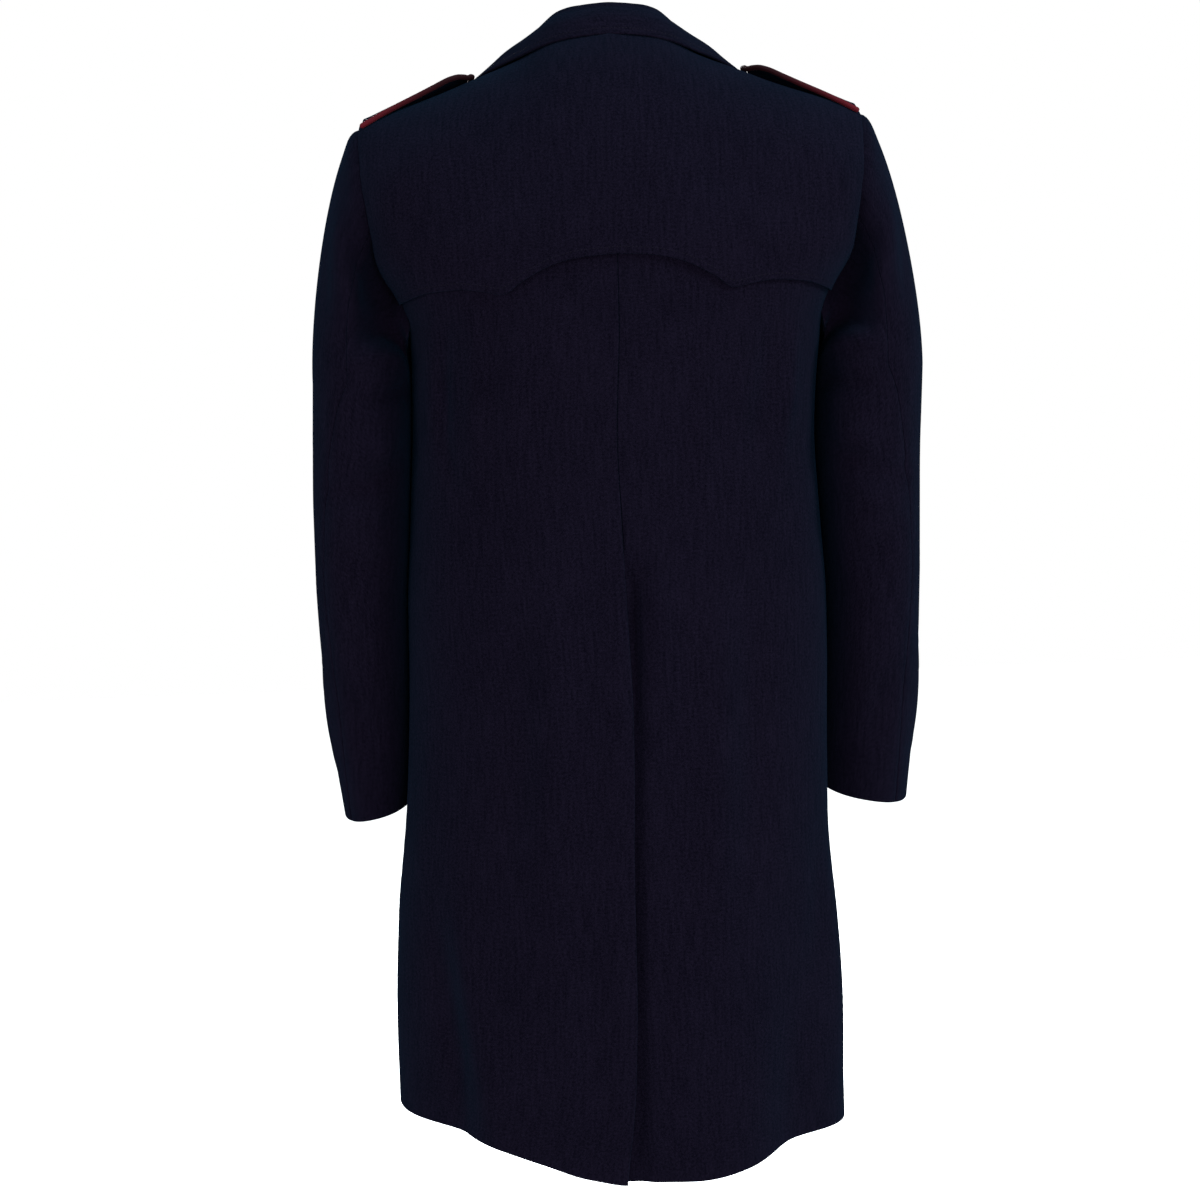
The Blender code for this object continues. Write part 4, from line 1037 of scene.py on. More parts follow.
        mesh.set_sharp_from_angle(angle=math.radians(60))
        piece = bpy.data.objects.new(name, mesh)
        bpy.context.scene.collection.objects.link(piece)
        return piece


# Shader maths


class Level:
    """A value in a material. Sums with it add Math nodes."""

    def __init__(self, shading: "Shading", socket: bpy.types.NodeSocket) -> None:
        """Keeps the material and the socket that the value comes from."""
        self.shading = shading
        self.socket = socket

    def _sum(self, operation: str, first: "Level | float", second: "Level | float") -> "Level":
        """Adds a Math node for an operation on two values."""
        return self.shading.node("ShaderNodeMath", {"operation": operation}, {0: first, 1: second})

    def __add__(self, other: "Level | float") -> "Level":
        """This value plus another."""
        return self._sum("ADD", self, other)

    def __radd__(self, other: float) -> "Level":
        """A number plus this value."""
        return self._sum("ADD", other, self)

    def __sub__(self, other: "Level | float") -> "Level":
        """This value less another."""
        return self._sum("SUBTRACT", self, other)

    def __rsub__(self, other: float) -> "Level":
        """A number less this value."""
        return self._sum("SUBTRACT", other, self)

    def __mul__(self, other: "Level | float") -> "Level":
        """This value times another."""
        return self._sum("MULTIPLY", self, other)

    def __rmul__(self, other: float) -> "Level":
        """A number times this value."""
        return self._sum("MULTIPLY", other, self)

    def __pow__(self, other: "Level | float") -> "Level":
        """This value to a power."""
        return self._sum("POWER", self, other)

    def wave(self) -> "Level":
        """The sine of this value, brought between 0 and 1."""
        return self.shading.node("ShaderNodeMath", {"operation": "SINE"}, {0: self}) * 0.5 + 0.5


class Shading:
    """A material's nodes, added one at a time around its Principled shader."""

    def __init__(self, name: str) -> None:
        """Makes an empty material with a Principled shader."""
        self.material = bpy.data.materials.new(name)
        self.material.use_nodes = True
        self.tree = self.material.node_tree
        self.shader = self.tree.nodes["Principled BSDF"]

    def _join(self, socket: bpy.types.NodeSocket, value: object) -> None:
        """Links or sets one input socket."""
        if isinstance(value, Level):
            self.tree.links.new(value.socket, socket)
        else:
            socket.default_value = value

    def node(
        self, kind: str, settings: dict[str, object], inputs: dict[str | int, object], output: str | int = 0
    ) -> Level:
        """Adds a node.

        Args:
            kind: the node's type.
            settings: its own settings, which are made first.
            inputs: values or links by the socket's name or number.
            output: the name or number of the socket that is wanted.

        Returns:
            That output as a value.
        """
        made = self.tree.nodes.new(kind)
        for key, value in settings.items():
            setattr(made, key, value)
        for key, value in inputs.items():
            self._join(made.inputs[key], value)
        return Level(self, made.outputs[output])

    def place(self, output: str, scale: tuple[float, float, float] = (1, 1, 1), turn: float = 0.0) -> Level:
        """Coordinates of the surface, scaled and turned.

        Args:
            output: UV for the piece's own map, or Object.
            scale: how much each axis is stretched.
            turn: the turn about the third axis, in radians.

        Returns:
            The coordinates as a value.
        """
        here = self.node("ShaderNodeTexCoord", {}, {}, output)
        return self.node("ShaderNodeMapping", {}, {"Vector": here, "Scale": scale, "Rotation": (0, 0, turn)})

    def noise(self, place: Level, scale: float, detail: float = 2.0, roughness: float = 0.5) -> Level:
        """Noise between 0 and 1 at a place."""
        inputs = {"Vector": place, "Scale": scale, "Detail": detail, "Roughness": roughness}
        return self.node("ShaderNodeTexNoise", {}, inputs)

    def axis(self, place: Level, name: str) -> Level:
        """One axis of a place, by its letter."""
        return self.node("ShaderNodeSeparateXYZ", {}, {0: place}, name)

    def blend(self, share: Level, first: Colour, second: Colour) -> Level:
        """A colour between two, by a share that is kept between 0 and 1."""
        settings = {"data_type": "RGBA", "clamp_factor": True}
        inputs = {0: share, 6: (*first, 1.0), 7: (*second, 1.0)}
        return self.node("ShaderNodeMix", settings, inputs, 2)

    def bump(self, height: Level, distance: float, strength: float = 1.0) -> Level:
        """A normal that a height in 0 to 1 tilts, over a real distance in metres."""
        return self.node("ShaderNodeBump", {}, {"Height": height, "Distance": distance, "Strength": strength})

    def set(self, **values: object) -> None:
        """Sets or links the shader's own sockets, named with _ for a space."""
        for key, value in values.items():
            self._join(self.shader.inputs[key.replace("_", " ")], value)


# Finishes


@dataclass(frozen=True)
class WoolTwill:
    """Milled navy wool with a fine diagonal rib, a short nap and a faint streak along its grain."""

    name: str = "navy_wool_twill"
    dark: Colour = (0.00055, 0.00037, 0.00095)
    light: Colour = (0.0024, 0.00178, 0.0040)
    rib_pitch: float = 0.0011
    rib_angle: float = math.radians(62)
    sheen: float = 0.0065
    sheen_roughness: float = 0.55
    sheen_tint: Colour = (0.06, 0.52, 0.95)
    roughness: float = 0.86

    def material(self) -> bpy.types.Material:
        """Builds the material."""
        shade = Shading(self.name)
        cut = shade.place("UV")
        turned = shade.place("UV", turn=self.rib_angle)
        wander = shade.noise(cut, 260.0, 2.0)
        rib = (shade.axis(turned, "X") * (2 * math.pi / self.rib_pitch) + wander * 3.0).wave()
        nap = shade.noise(cut, 1700.0, 3.0, 0.62)
        grain = shade.noise(cut, 430.0, 4.0, 0.68)
        streak = shade.noise(shade.place("UV", scale=(1.0, 0.09, 1.0)), 330.0, 3.0, 0.6)
        cloud = shade.noise(cut, 11.0, 3.0, 0.55)
        tone = (grain - 0.5) * 2.1 + (streak - 0.5) * 0.9 + (cloud - 0.5) * 0.4
        tone = tone + (nap - 0.5) * 2.2 + (rib - 0.5) * 0.3 + 0.5
        shade.set(
            Base_Color=shade.blend(tone, self.dark, self.light),
            Roughness=self.roughness + (nap - 0.5) * 0.16,
            Normal=shade.bump(rib * 0.5 + nap * 0.8 + grain * 0.9, 0.00026, 0.6),
            Sheen_Weight=self.sheen,
            Sheen_Roughness=self.sheen_roughness,
            Sheen_Tint=(*self.sheen_tint, 1.0),
            Specular_IOR_Level=0.0,
        )
        return shade.material


@dataclass(frozen=True)
class RedPipingCloth:
    """Deep red wool cloth wrapped round a cord, with painted shade darkening it towards the strap's tip beside the
    collar.
    """

    name: str = "red_piping_cloth"
    dark: Colour = (0.0045, 0.0008, 0.0013)
    light: Colour = (0.042, 0.0026, 0.0050)
    painted_shade_at_tip: float = 0.10
    half_length: float = 0.112
    rib_pitch: float = 0.0009

    def material(self) -> bpy.types.Material:
        """Builds the material."""
        shade = Shading(self.name)
        flat = shade.place("UV")
        cut = shade.place("UV", turn=math.radians(45))
        rib = (shade.axis(cut, "X") * (2 * math.pi / self.rib_pitch)).wave()
        nap = shade.noise(flat, 1500.0, 3.0)
        worn = shade.noise(flat, 60.0, 3.0)
        # Painted shade: the tone falls towards the middle of the cord's length, at the strap's tip under the collar,
        # standing in for the collar's shade there.
        along = shade.axis(flat, "X") * (1 / self.half_length) - 1.0
        away_from_painted_shade = (along * along) ** 0.85
        tone = (nap * 0.9 + rib * 0.3 + worn * 0.4) * (away_from_painted_shade * (1 - self.painted_shade_at_tip) + self.painted_shade_at_tip)
        shade.set(
            Base_Color=shade.blend(tone - 0.15, self.dark, self.light),
            Roughness=0.74 + (nap - 0.5) * 0.2,
            Normal=shade.bump(rib * 0.5 + nap * 0.6, 0.00018, 0.6),
            Sheen_Weight=0.01,
            Sheen_Roughness=0.5,
            Sheen_Tint=(1.0, 0.35, 0.40, 1.0),
            Specular_IOR_Level=0.02,
        )
        return shade.material


@dataclass(frozen=True)
class SewingThread:
    """Twisted polyester thread, a little shinier than the wool."""

    name: str = "navy_thread"
    dark: Colour = (0.0007, 0.0005, 0.0012)
    light: Colour = (0.0024, 0.0019, 0.0042)

    def material(self) -> bpy.types.Material:
        """Builds the material."""
        shade = Shading(self.name)
        here = shade.place("Object")
        ply = shade.noise(here, 2600.0, 2.0)
        shade.set(
            Base_Color=shade.blend(ply, self.dark, self.light),
            Roughness=0.46 + ply * 0.16,
            Normal=shade.bump(ply, 0.0001, 0.4),
            Specular_IOR_Level=0.02,
        )
        return shade.material


@dataclass(frozen=True)
class ButtonMetal:
    """Plain silver-coloured metal, lightly brushed, with random smudges brighter and duller."""

    name: str = "brushed_button_metal"
    dull: Colour = (0.34, 0.34, 0.35)
    bright: Colour = (0.66, 0.66, 0.67)

    def material(self) -> bpy.types.Material:
        """Builds the material."""
        shade = Shading(self.name)
        here = shade.place("Object")
        grain = shade.noise(here, 1500.0, 3.0)
        smudge = shade.noise(here, 190.0, 3.0)
        shade.set(
            Base_Color=shade.blend(smudge * 0.7 + grain * 0.4, self.dull, self.bright),
            Metallic=1.0,
            Roughness=0.24 + smudge * 0.2,
            Normal=shade.bump(grain, 0.00006, 0.35),
        )
        return shade.material


@dataclass(frozen=True)
class PalePaper:
    """The pale floor that the coat is shown over."""

    name: str = "pale_floor"
    pale: Colour = (0.93, 0.93, 0.93)
    lift: float = 0.10

    def material(self) -> bpy.types.Material:
        """Builds the material."""
        shade = Shading(self.name)
        tooth = shade.noise(shade.place("Object"), 40.0, 3.0)
        soft = tuple(value * 0.985 for value in self.pale)
        shade.set(
            Base_Color=shade.blend(tooth, soft, self.pale),
            Roughness=0.9,
            Specular_IOR_Level=0.1,
            Emission_Color=(1.0, 1.0, 1.0, 1.0),
            Emission_Strength=self.lift,
        )
        return shade.material


class Wardrobe:
    """Makes each finish once and dresses pieces in it."""

    def __init__(self) -> None:
        """Starts with nothing made."""
        self.made: dict[str, bpy.types.Material] = {}

    def dress(self, piece: bpy.types.Object, finish: object, slot: Slot) -> bpy.types.Object:
        """Gives a piece its material, and lets it ride on the coat's body.

        Args:
            piece: the object.
            finish: one of the finishes above.
            slot: the record's material slot; not used.

        Returns:
            The same object.
        """
        if finish.name not in self.made:
            self.made[finish.name] = finish.material()
        piece.data.materials.clear()
        piece.data.materials.append(self.made[finish.name])
        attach(piece, BODY)
        return piece


def declare(
    nodes: Iterable[str],
) -> None:
    """Hides the solids that a piece of cloth stands for.

    Args:
        nodes: the solids that it replaces.
    """
    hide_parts(*nodes)


# Sewing


def only(piece: bpy.types.Object) -> None:
    """Selects one object and makes it active, with everything else deselected."""
    bpy.ops.object.select_all(action="DESELECT")
    piece.select_set(True)
    bpy.context.view_layer.objects.active = piece


@dataclass
class Sewing:
    """Rows of small thread stitches: one stitch is modelled, then copied along each row."""

    wardrobe: Wardrobe
    pitch: float = 0.0034
    length: float = 0.0026
    radius: float = 0.00030
    sunk: float = 0.00012
    pattern: tuple[Array, list[tuple[int, ...]]] | None = None

    def stitch(self) -> tuple[Array, list[tuple[int, ...]]]:
        """The one modelled stitch, a small bead drawn out along X, as its points and faces."""
        if self.pattern is None:
            bpy.ops.object.select_all(action="DESELECT")
            bpy.ops.mesh.primitive_uv_sphere_add(segments=6, ring_count=4, radius=1.0)
            bead = bpy.context.object
            bpy.ops.object.mode_set(mode="EDIT")
            bpy.ops.mesh.select_all(action="SELECT")
            bpy.ops.transform.rotate(value=math.pi / 2, orient_axis="Y", center_override=(0, 0, 0))
            bpy.ops.transform.resize(value=(self.length / 2, self.radius, self.radius))
            bpy.ops.object.mode_set(mode="OBJECT")
            places = np.array([vertex.co[:] for vertex in bead.data.vertices])
            faces = [tuple(face.vertices) for face in bead.data.polygons]
            bpy.data.objects.remove(bead)
            self.pattern = places, faces
        return self.pattern

    def row(self, name: str, line: Array, normals: Array) -> bpy.types.Object:
        """Copies the stitch along a line on the cloth.

        Args:
            name: the row's name.
            line: points on the cloth's face.
            normals: the cloth's normals there.

        Returns:
            The new object, one mesh for the row.
        """
        run = np.concatenate([[0], np.cumsum(np.linalg.norm(np.diff(line, axis=0), axis=-1))])
        middles = np.arange(self.pitch / 2, run[-1], self.pitch)
        at = [np.interp(middles, run, line[:, axis]) for axis in range(3)]
        ahead = [np.interp(middles + self.length / 3, run, line[:, axis]) for axis in range(3)]
        out = unit(np.stack([np.interp(middles, run, normals[:, axis]) for axis in range(3)], axis=-1))
        place, along = np.stack(at, axis=-1), unit(np.stack(ahead, axis=-1) - np.stack(at, axis=-1))
        return self.copy(name, place - out * self.sunk, along, out)

    def copy(self, name: str, places: Array, along: Array, out: Array, scale: float = 1.0) -> bpy.types.Object:
        """Puts a copy of the stitch at each place, along one direction and facing another."""
        pattern, faces = self.stitch()
        across = unit(np.cross(out, along))
        turned = (
            pattern[None, :, :1] * along[:, None]
            + pattern[None, :, 1:2] * across[:, None] * scale
            + pattern[None, :, 2:] * out[:, None] * scale
        )
        vertices = (places[:, None] + turned).reshape(-1, 3)
        count = len(pattern)
        all_faces = [tuple(corner + k * count for corner in face) for k in range(len(places)) for face in faces]
        mesh = bpy.data.meshes.new(name)
        mesh.from_pydata(vertices.tolist(), [], all_faces)
        mesh.shade_smooth()
        piece = bpy.data.objects.new(name, mesh)
        bpy.context.scene.collection.objects.link(piece)
        LOG.info("%s: %d stitches", name, len(places))
        return self.wardrobe.dress(piece, SewingThread(), Slot.WOOL)

    def buttonhole(self, name: str, middle: Array, along: Array, out: Array, half: float) -> bpy.types.Object:
        """A worked buttonhole: thread laid across the cut, close together, along both its sides.

        Args:
            name: the buttonhole's name.
            middle: the cut's middle on the cloth.
            along: the cut's direction.
            out: the cloth's normal.
            half: half the cut's length.

        Returns:
            The new object.
        """
        across = unit(np.cross(out, along))
        steps = np.arange(-half, half + 1e-9, self.radius * 1.9)
        places = [middle + along * step + across * side * self.length * 0.42 for side in (-1, 1) for step in steps]
        count = len(places)
        return self.copy(
            name,
            np.array(places) - out * self.sunk,
            np.repeat(across[None], count, axis=0),
            np.repeat(out[None], count, axis=0),
        )


# Pieces of the coat


@dataclass
class Panels:
    """The two backs and the two fronts."""

    form: CoatForm
    wardrobe: Wardrobe
    sleeves: "Sleeves"
    sewing: Sewing
    columns: int = 68
    steps_a_skirt_row: int = 13
    steps_a_hole_row: int = 6
    steps_a_shoulder_row: int = 7
    edge_in: float = 0.006
    hem_turn_up: float = 0.040
    hem_allowance: float = 0.0014
    normal_reach: float = 0.010

    def rows(self) -> Array:
        """Row numbers from the hem to the neck, close enough for the creases."""
        form = self.form
        index = spread(0, form.skirt_rows, form.skirt_rows * self.steps_a_skirt_row)
        index += spread(form.skirt_rows, form.tip_row, form.hole_rows * self.steps_a_hole_row)
        steps = form.shoulder_rows * self.steps_a_shoulder_row
        index += list(np.linspace(form.tip_row, form.last_row, steps + 1))
        return np.array(index)

    def thickness(self, points: Array) -> Array:
        """The wall's thickness, more where the hem is turned up inside."""
        run = np.linalg.norm(points - points[:1], axis=-1)
        turned = 1 - smoothstep(self.hem_turn_up - 0.002, self.hem_turn_up + 0.001, run)
        return self.form.cloth + self.hem_allowance * turned

    def toward_sleeve(
        self, points: Array, normals: Array, index: Array, side: Side, facing: Facing, edge: int
    ) -> Array:
        """Turns the normals near the armhole to those of the sleeve that is sewn on there."""
        form = self.form
        on_hole = (index >= form.skirt_rows) & (index <= form.tip_row)
        place = form.tip_row - index if facing is Facing.BACK else form.hole_rows + index - form.skirt_rows
        place = np.clip(place, 0, 2 * form.hole_rows)
        wanted = self.sleeves.hole_normals(side, place)
        reach = np.linalg.norm(points - points[:, edge : edge + 1 or None], axis=-1)
        pull = np.exp(-((reach / self.normal_reach) ** 2)) * on_hole[:, None]
        return unit(normals * (1 - pull[..., None]) + wanted[:, None, :] * pull[..., None])

    def build_back(self, side: Side) -> bpy.types.Object:
        """One half of the back, from the centre seam and vent to the side and armhole."""
        shares = np.linspace(0, 1, self.columns + 1)[None, :]
        index = self.rows()
        points, normals = self.form.back(side, shares, index[:, None])
        normals = self.toward_sleeve(points, normals, index, side, Facing.BACK, -1)
        edging = {
            Border.FIRST_ROW: PRESSED_HEM,
            Border.LAST_ROW: FOLDED,
            Border.FIRST_COLUMN: SEAMED,
            Border.LAST_COLUMN: SEWN_CLOSE,
        }
        cloth = Cloth(points, normals, self.thickness(points), edging=edging, upright=True)
        size = cloth.flat_size()
        name = f"back_{side.word}"
        piece = self.wardrobe.dress(cloth.build(f"{name}_cloth"), WoolTwill(), Slot.WOOL)
        declare([name])
        return piece

    def build_front(self, side: Side) -> bpy.types.Object:
        """One front, from the side seam to the closure and the roll line."""
        shares = np.linspace(0, 1, self.columns + 1)[None, :]
        index = self.rows()
        points, normals = self.form.front(side, shares, index[:, None])
        normals = self.toward_sleeve(points, normals, index, side, Facing.FRONT, 0)
        edging = {
            Border.FIRST_ROW: PRESSED_HEM,
            Border.LAST_ROW: FOLDED,
            Border.FIRST_COLUMN: SEWN_CLOSE,
            Border.LAST_COLUMN: FOLDED,
        }
        cloth = Cloth(points, normals, self.thickness(points), edging=edging, upright=True)
        size = cloth.flat_size()
        name = f"front_{side.word}"
        if side is Side.LEFT:
            line = cloth.line_inside(Border.LAST_COLUMN, self.edge_in)
            closed = index <= self.form.skirt_rows
            self.sewing.row("front_stitches", line[0][closed], line[1][closed])
        piece = self.wardrobe.dress(cloth.build(f"{name}_cloth"), WoolTwill(), Slot.WOOL)
        declare([name])
        return piece


@dataclass
class StormFlap:
    """The flap over the upper back, its lower edge in three arches with a point between each."""

    form: CoatForm
    wardrobe: Wardrobe
    sleeves: "Sleeves"
    sewing: Sewing
    columns_a_half: int = 70
    rows: int = 66
    gap_top: float = 0.0009
    gap_edge: float = 0.0030
    neck_gap: float = 0.0022
    edge_in: float = 0.006

    def build(self) -> bpy.types.Object:
        """The flap as one shell, made from the back's own points moved out."""
        form = self.form
        half = np.linspace(0, 1, self.columns_a_half + 1)
        index = np.linspace(form.flap_row, form.last_row, self.rows + 1)
        halves = []
        for side in (Side.RIGHT, Side.LEFT):
            points, normals = form.back(side, half[None, :], index[:, None])
            on_hole = index <= form.tip_row
            wanted = self.sleeves.hole_normals(side, np.clip(form.tip_row - index, 0, form.hole_rows))
            reach = np.linalg.norm(points - points[:, -1:], axis=-1)
            pull = (np.exp(-((reach / 0.010) ** 2)) * on_hole[:, None])[..., None]
            halves.append((points, unit(normals * (1 - pull) + wanted[:, None] * pull)))
        points, normals = (np.concatenate([right[:, :0:-1], left], axis=1) for right, left in zip(*halves))
        shares = np.concatenate([-half[:0:-1], half])[None, :]
        down = np.linspace(0, 1, len(points))[:, None]
        gap = self.gap_edge + (self.gap_top - self.gap_edge) * smoothstep(0, 0.6, down)
        inside = 1 - smoothstep(0.90, 1.0, np.abs(shares))
        gap = self.gap_top + (gap - self.gap_top) * inside
        points = points + normals * (gap + form.cloth)[..., None]
        short = unit(points[-2] - points[-1]) * self.neck_gap
        points[-1] = points[-1] + short
        edging = {
            Border.FIRST_ROW: FOLDED,
            Border.LAST_ROW: FOLDED,
            Border.FIRST_COLUMN: SEAMED,
            Border.LAST_COLUMN: SEAMED,
        }
        cloth = Cloth(points, normals, np.array(form.cloth), edging=edging, upright=True)
        size = cloth.flat_size()
        self.sewing.row("flap_stitches", *cloth.line_inside(Border.FIRST_ROW, self.edge_in))
        piece = self.wardrobe.dress(cloth.build("back_flap_cloth"), WoolTwill(), Slot.WOOL)
        declare(["back_flap"])
        return piece


@dataclass
class Lapels:
    """The fronts' facings, rolled back over the chest."""

    form: CoatForm
    wardrobe: Wardrobe
    sewing: Sewing
    edge_in: float = 0.006
    last_row: int = 20
    gap: float = 0.0008
    swell: float = 0.0030
    swell_rows: tuple[float, float] = (16.5, 19.0)
    roll_reach: float = 0.0026
    rows: int = 84
    columns: int = 46
    station_share: tuple[float, ...] = (0, 0.25, 0.5, 0.75, 1, 1, 1)
    station_reach: tuple[float, ...] = (0, 0, 0, 0, 0.6, 0.95, 0.35)
    station_facing: tuple[float, ...] = (1, 1, 1, 1, 0.75, 0.1, -0.3)
    station_drop: tuple[float, ...] = (0, 0, 0, 0, 0, 0.0016, 0.0028)

    def build(self, side: Side) -> bpy.types.Object:
        """One lapel, from its edge to the roll and round it."""
        form = self.form
        rows = np.linspace(form.skirt_rows, self.last_row, self.rows + 1)[:, None]
        stations = np.linspace(0, len(self.station_share) - 1, self.columns + 1)[None, :]
        at = np.arange(len(self.station_share))
        share, reach, facing, drop = (
            smooth_curve(at, values)(stations)
            for values in (self.station_share, self.station_reach, self.station_facing, self.station_drop)
        )
        lapel = form.curves["lapel"](rows)
        points, normals = form.front(side, 1 - lapel * (1 - share), rows)
        edge, _ = form.front(side, np.ones_like(rows), rows)
        before, _ = form.front(side, np.full_like(rows, 0.99), rows)
        edge_out = unit(edge - before)
        lift = self.swell * np.sin(math.pi * share) * smoothstep(*self.swell_rows, rows)
        out = self.gap + lift - drop
        inner = points + normals * out[..., None] + edge_out * (reach * self.roll_reach)[..., None]
        side_on = np.sqrt(np.maximum(1 - facing**2, 0))
        turned = unit(normals * facing[..., None] + edge_out * side_on[..., None])
        edging = {Border.FIRST_COLUMN: FOLDED, Border.LAST_ROW: FOLDED}
        cloth = Cloth(inner + turned * form.cloth, turned, np.array(form.cloth), edging=edging)
        size = cloth.flat_size()
        name = f"lapel_{side.word}"
        self.sewing.row(f"{name}_stitches", *cloth.line_inside(Border.FIRST_COLUMN, self.edge_in))
        piece = self.wardrobe.dress(cloth.build(f"{name}_cloth"), WoolTwill(), Slot.WOOL)
        declare([name])
        return piece


@dataclass
class CoatCollar:
    """The turned-down collar: stand, roll and fall in one."""

    form: CoatForm
    wardrobe: Wardrobe
    sewing: Sewing
    edge_in: float = 0.006
    wall: float = 0.0024
    roll: float = 0.0032
    end_along: float = 0.60
    stations_a_half: int = 70
    points_across: int = 40
    centre_reach: float = 16.0
    centre_passes: int = 60

    def neck_path(self) -> list[Curve]:
        """The neck seam from the centre back to the collar's front end, over the turn."""
        form = self.form
        rows = np.full(9, float(form.last_row))
        back = form.smooth_point(*form.back_place(np.linspace(0, 1, 9), rows, Side.LEFT))
        x, z = form.roll_point(np.linspace(1.0, self.end_along, 7))
        level = form.level_of(x, z)
        front = form.smooth_point(form.angle_of(x, level, Facing.FRONT), level)
        points = np.concatenate([back, front])
        lengths = np.concatenate([[0], np.cumsum(np.linalg.norm(np.diff(points, axis=0), axis=1))])
        half = lengths[8]
        past = 0.5 + 0.5 * (lengths - half) / (lengths[-1] - half)
        turn = np.where(lengths <= half, 0.5 * lengths / half, past)
        keep = np.concatenate([[True], np.diff(turn) > 1e-6])
        return [smooth_curve(turn[keep], points[keep, axis]) for axis in range(3)]

    def section(self, base: Array, roll: Array, edge: Array, outward: Array) -> Array:
        """The collar's middle line at one station: up the stand, over the roll, down the fall."""
        up = np.array([0.0, 0.0, 1.0])
        stand_top, fall_top = roll - outward * self.roll, roll + outward * self.roll
        swell = (fall_top + edge) / 2 + (up + outward) * 0.0030
        knots = np.array(
            [
                base,
                (base + stand_top) / 2,
                stand_top,
                roll + up * self.roll * 0.8 - outward * self.roll * 0.55,
                roll + up * self.roll * 0.8 + outward * self.roll * 0.55,
                fall_top,
                fall_top * 0.5 + swell * 0.5,
                swell * 0.8 + (fall_top + edge) * 0.1,
                swell * 0.5 + edge * 0.5,
                edge,
            ]
        )
        length = np.concatenate([[0], np.cumsum(np.linalg.norm(np.diff(knots, axis=0), axis=1))])
        along = np.linspace(0, length[-1], self.points_across + 1)
        return np.stack([smooth_curve(length, knots[:, axis])(along) for axis in range(3)], axis=-1)

    def eased(self, grid: Array) -> Array:
        """Evens the collar out along its length, most at the centre back where the halves meet."""
        stations = np.arange(len(grid)) - len(grid) // 2
        keep = np.exp(-((stations / self.centre_reach) ** 2))[1:-1, None, None]
        for _ in range(self.centre_passes):
            even = (grid[:-2] + 2 * grid[1:-1] + grid[2:]) / 4
            grid[1:-1] = grid[1:-1] * (1 - keep) + even * keep
        return grid

    def build(self) -> bpy.types.Object:
        """The whole collar, mirrored from its left half."""
        form = self.form
        path = self.neck_path()
        turns = [row.turn for row in COLLAR_EDGE]
        levels = [float(form.level_of(row.x, row.z)) for row in COLLAR_EDGE]
        forward = [
            level if row.facing is Facing.BACK else 2 - level for row, level in zip(COLLAR_EDGE, levels)
        ]
        place_at, x_at = smooth_curve(turns, forward), smooth_curve(turns, [row.x for row in COLLAR_EDGE])
        stand, lean_in, clearance = (column(COLLAR, "turn", name) for name in ("stand", "lean_in", "clearance"))
        rows = []
        for turn in np.linspace(0, 1, self.stations_a_half):
            base = np.array([float(axis(turn)) for axis in path])
            place = float(place_at(turn))
            facing, level = (Facing.BACK, place) if place <= 1 else (Facing.FRONT, 2 - place)
            angle = float(form.angle_of(float(x_at(turn)), level, facing))
            edge = form.smooth_point(angle, level) + form.normal(angle, level) * float(clearance(turn))
            outward = unit(np.array([edge[0] - base[0], edge[1] - base[1], 0.0]))
            rise = form.seam_gap + 0.0006 + 0.0008 * float(smoothstep(0.4, 0.6, turn))
            base = base + np.array([0, 0, rise]) - outward * (form.cloth * 0.5)
            roll = base + np.array([0, 0, 1.0]) * float(stand(turn)) - outward * float(lean_in(turn))
            rows.append(self.section(base, roll, edge, outward))
        left = np.array(rows)
        right = (left * np.array([-1.0, 1.0, 1.0]))[:0:-1]
        grid = self.eased(np.concatenate([right, left]))
        normals = unit(np.cross(np.gradient(grid, axis=0), np.gradient(grid, axis=1)))
        edging = {Border.FIRST_ROW: FOLDED, Border.LAST_ROW: FOLDED, Border.LAST_COLUMN: FOLDED}
        cloth = Cloth(grid + normals * self.wall / 2, normals, np.array(self.wall), edging=edging)
        size = cloth.flat_size()
        self.sewing.row("collar_stitches", *cloth.line_inside(Border.LAST_COLUMN, self.edge_in))
        piece = self.wardrobe.dress(cloth.build("collar_cloth"), WoolTwill(), Slot.WOOL)
        declare(["collar"])
        return piece


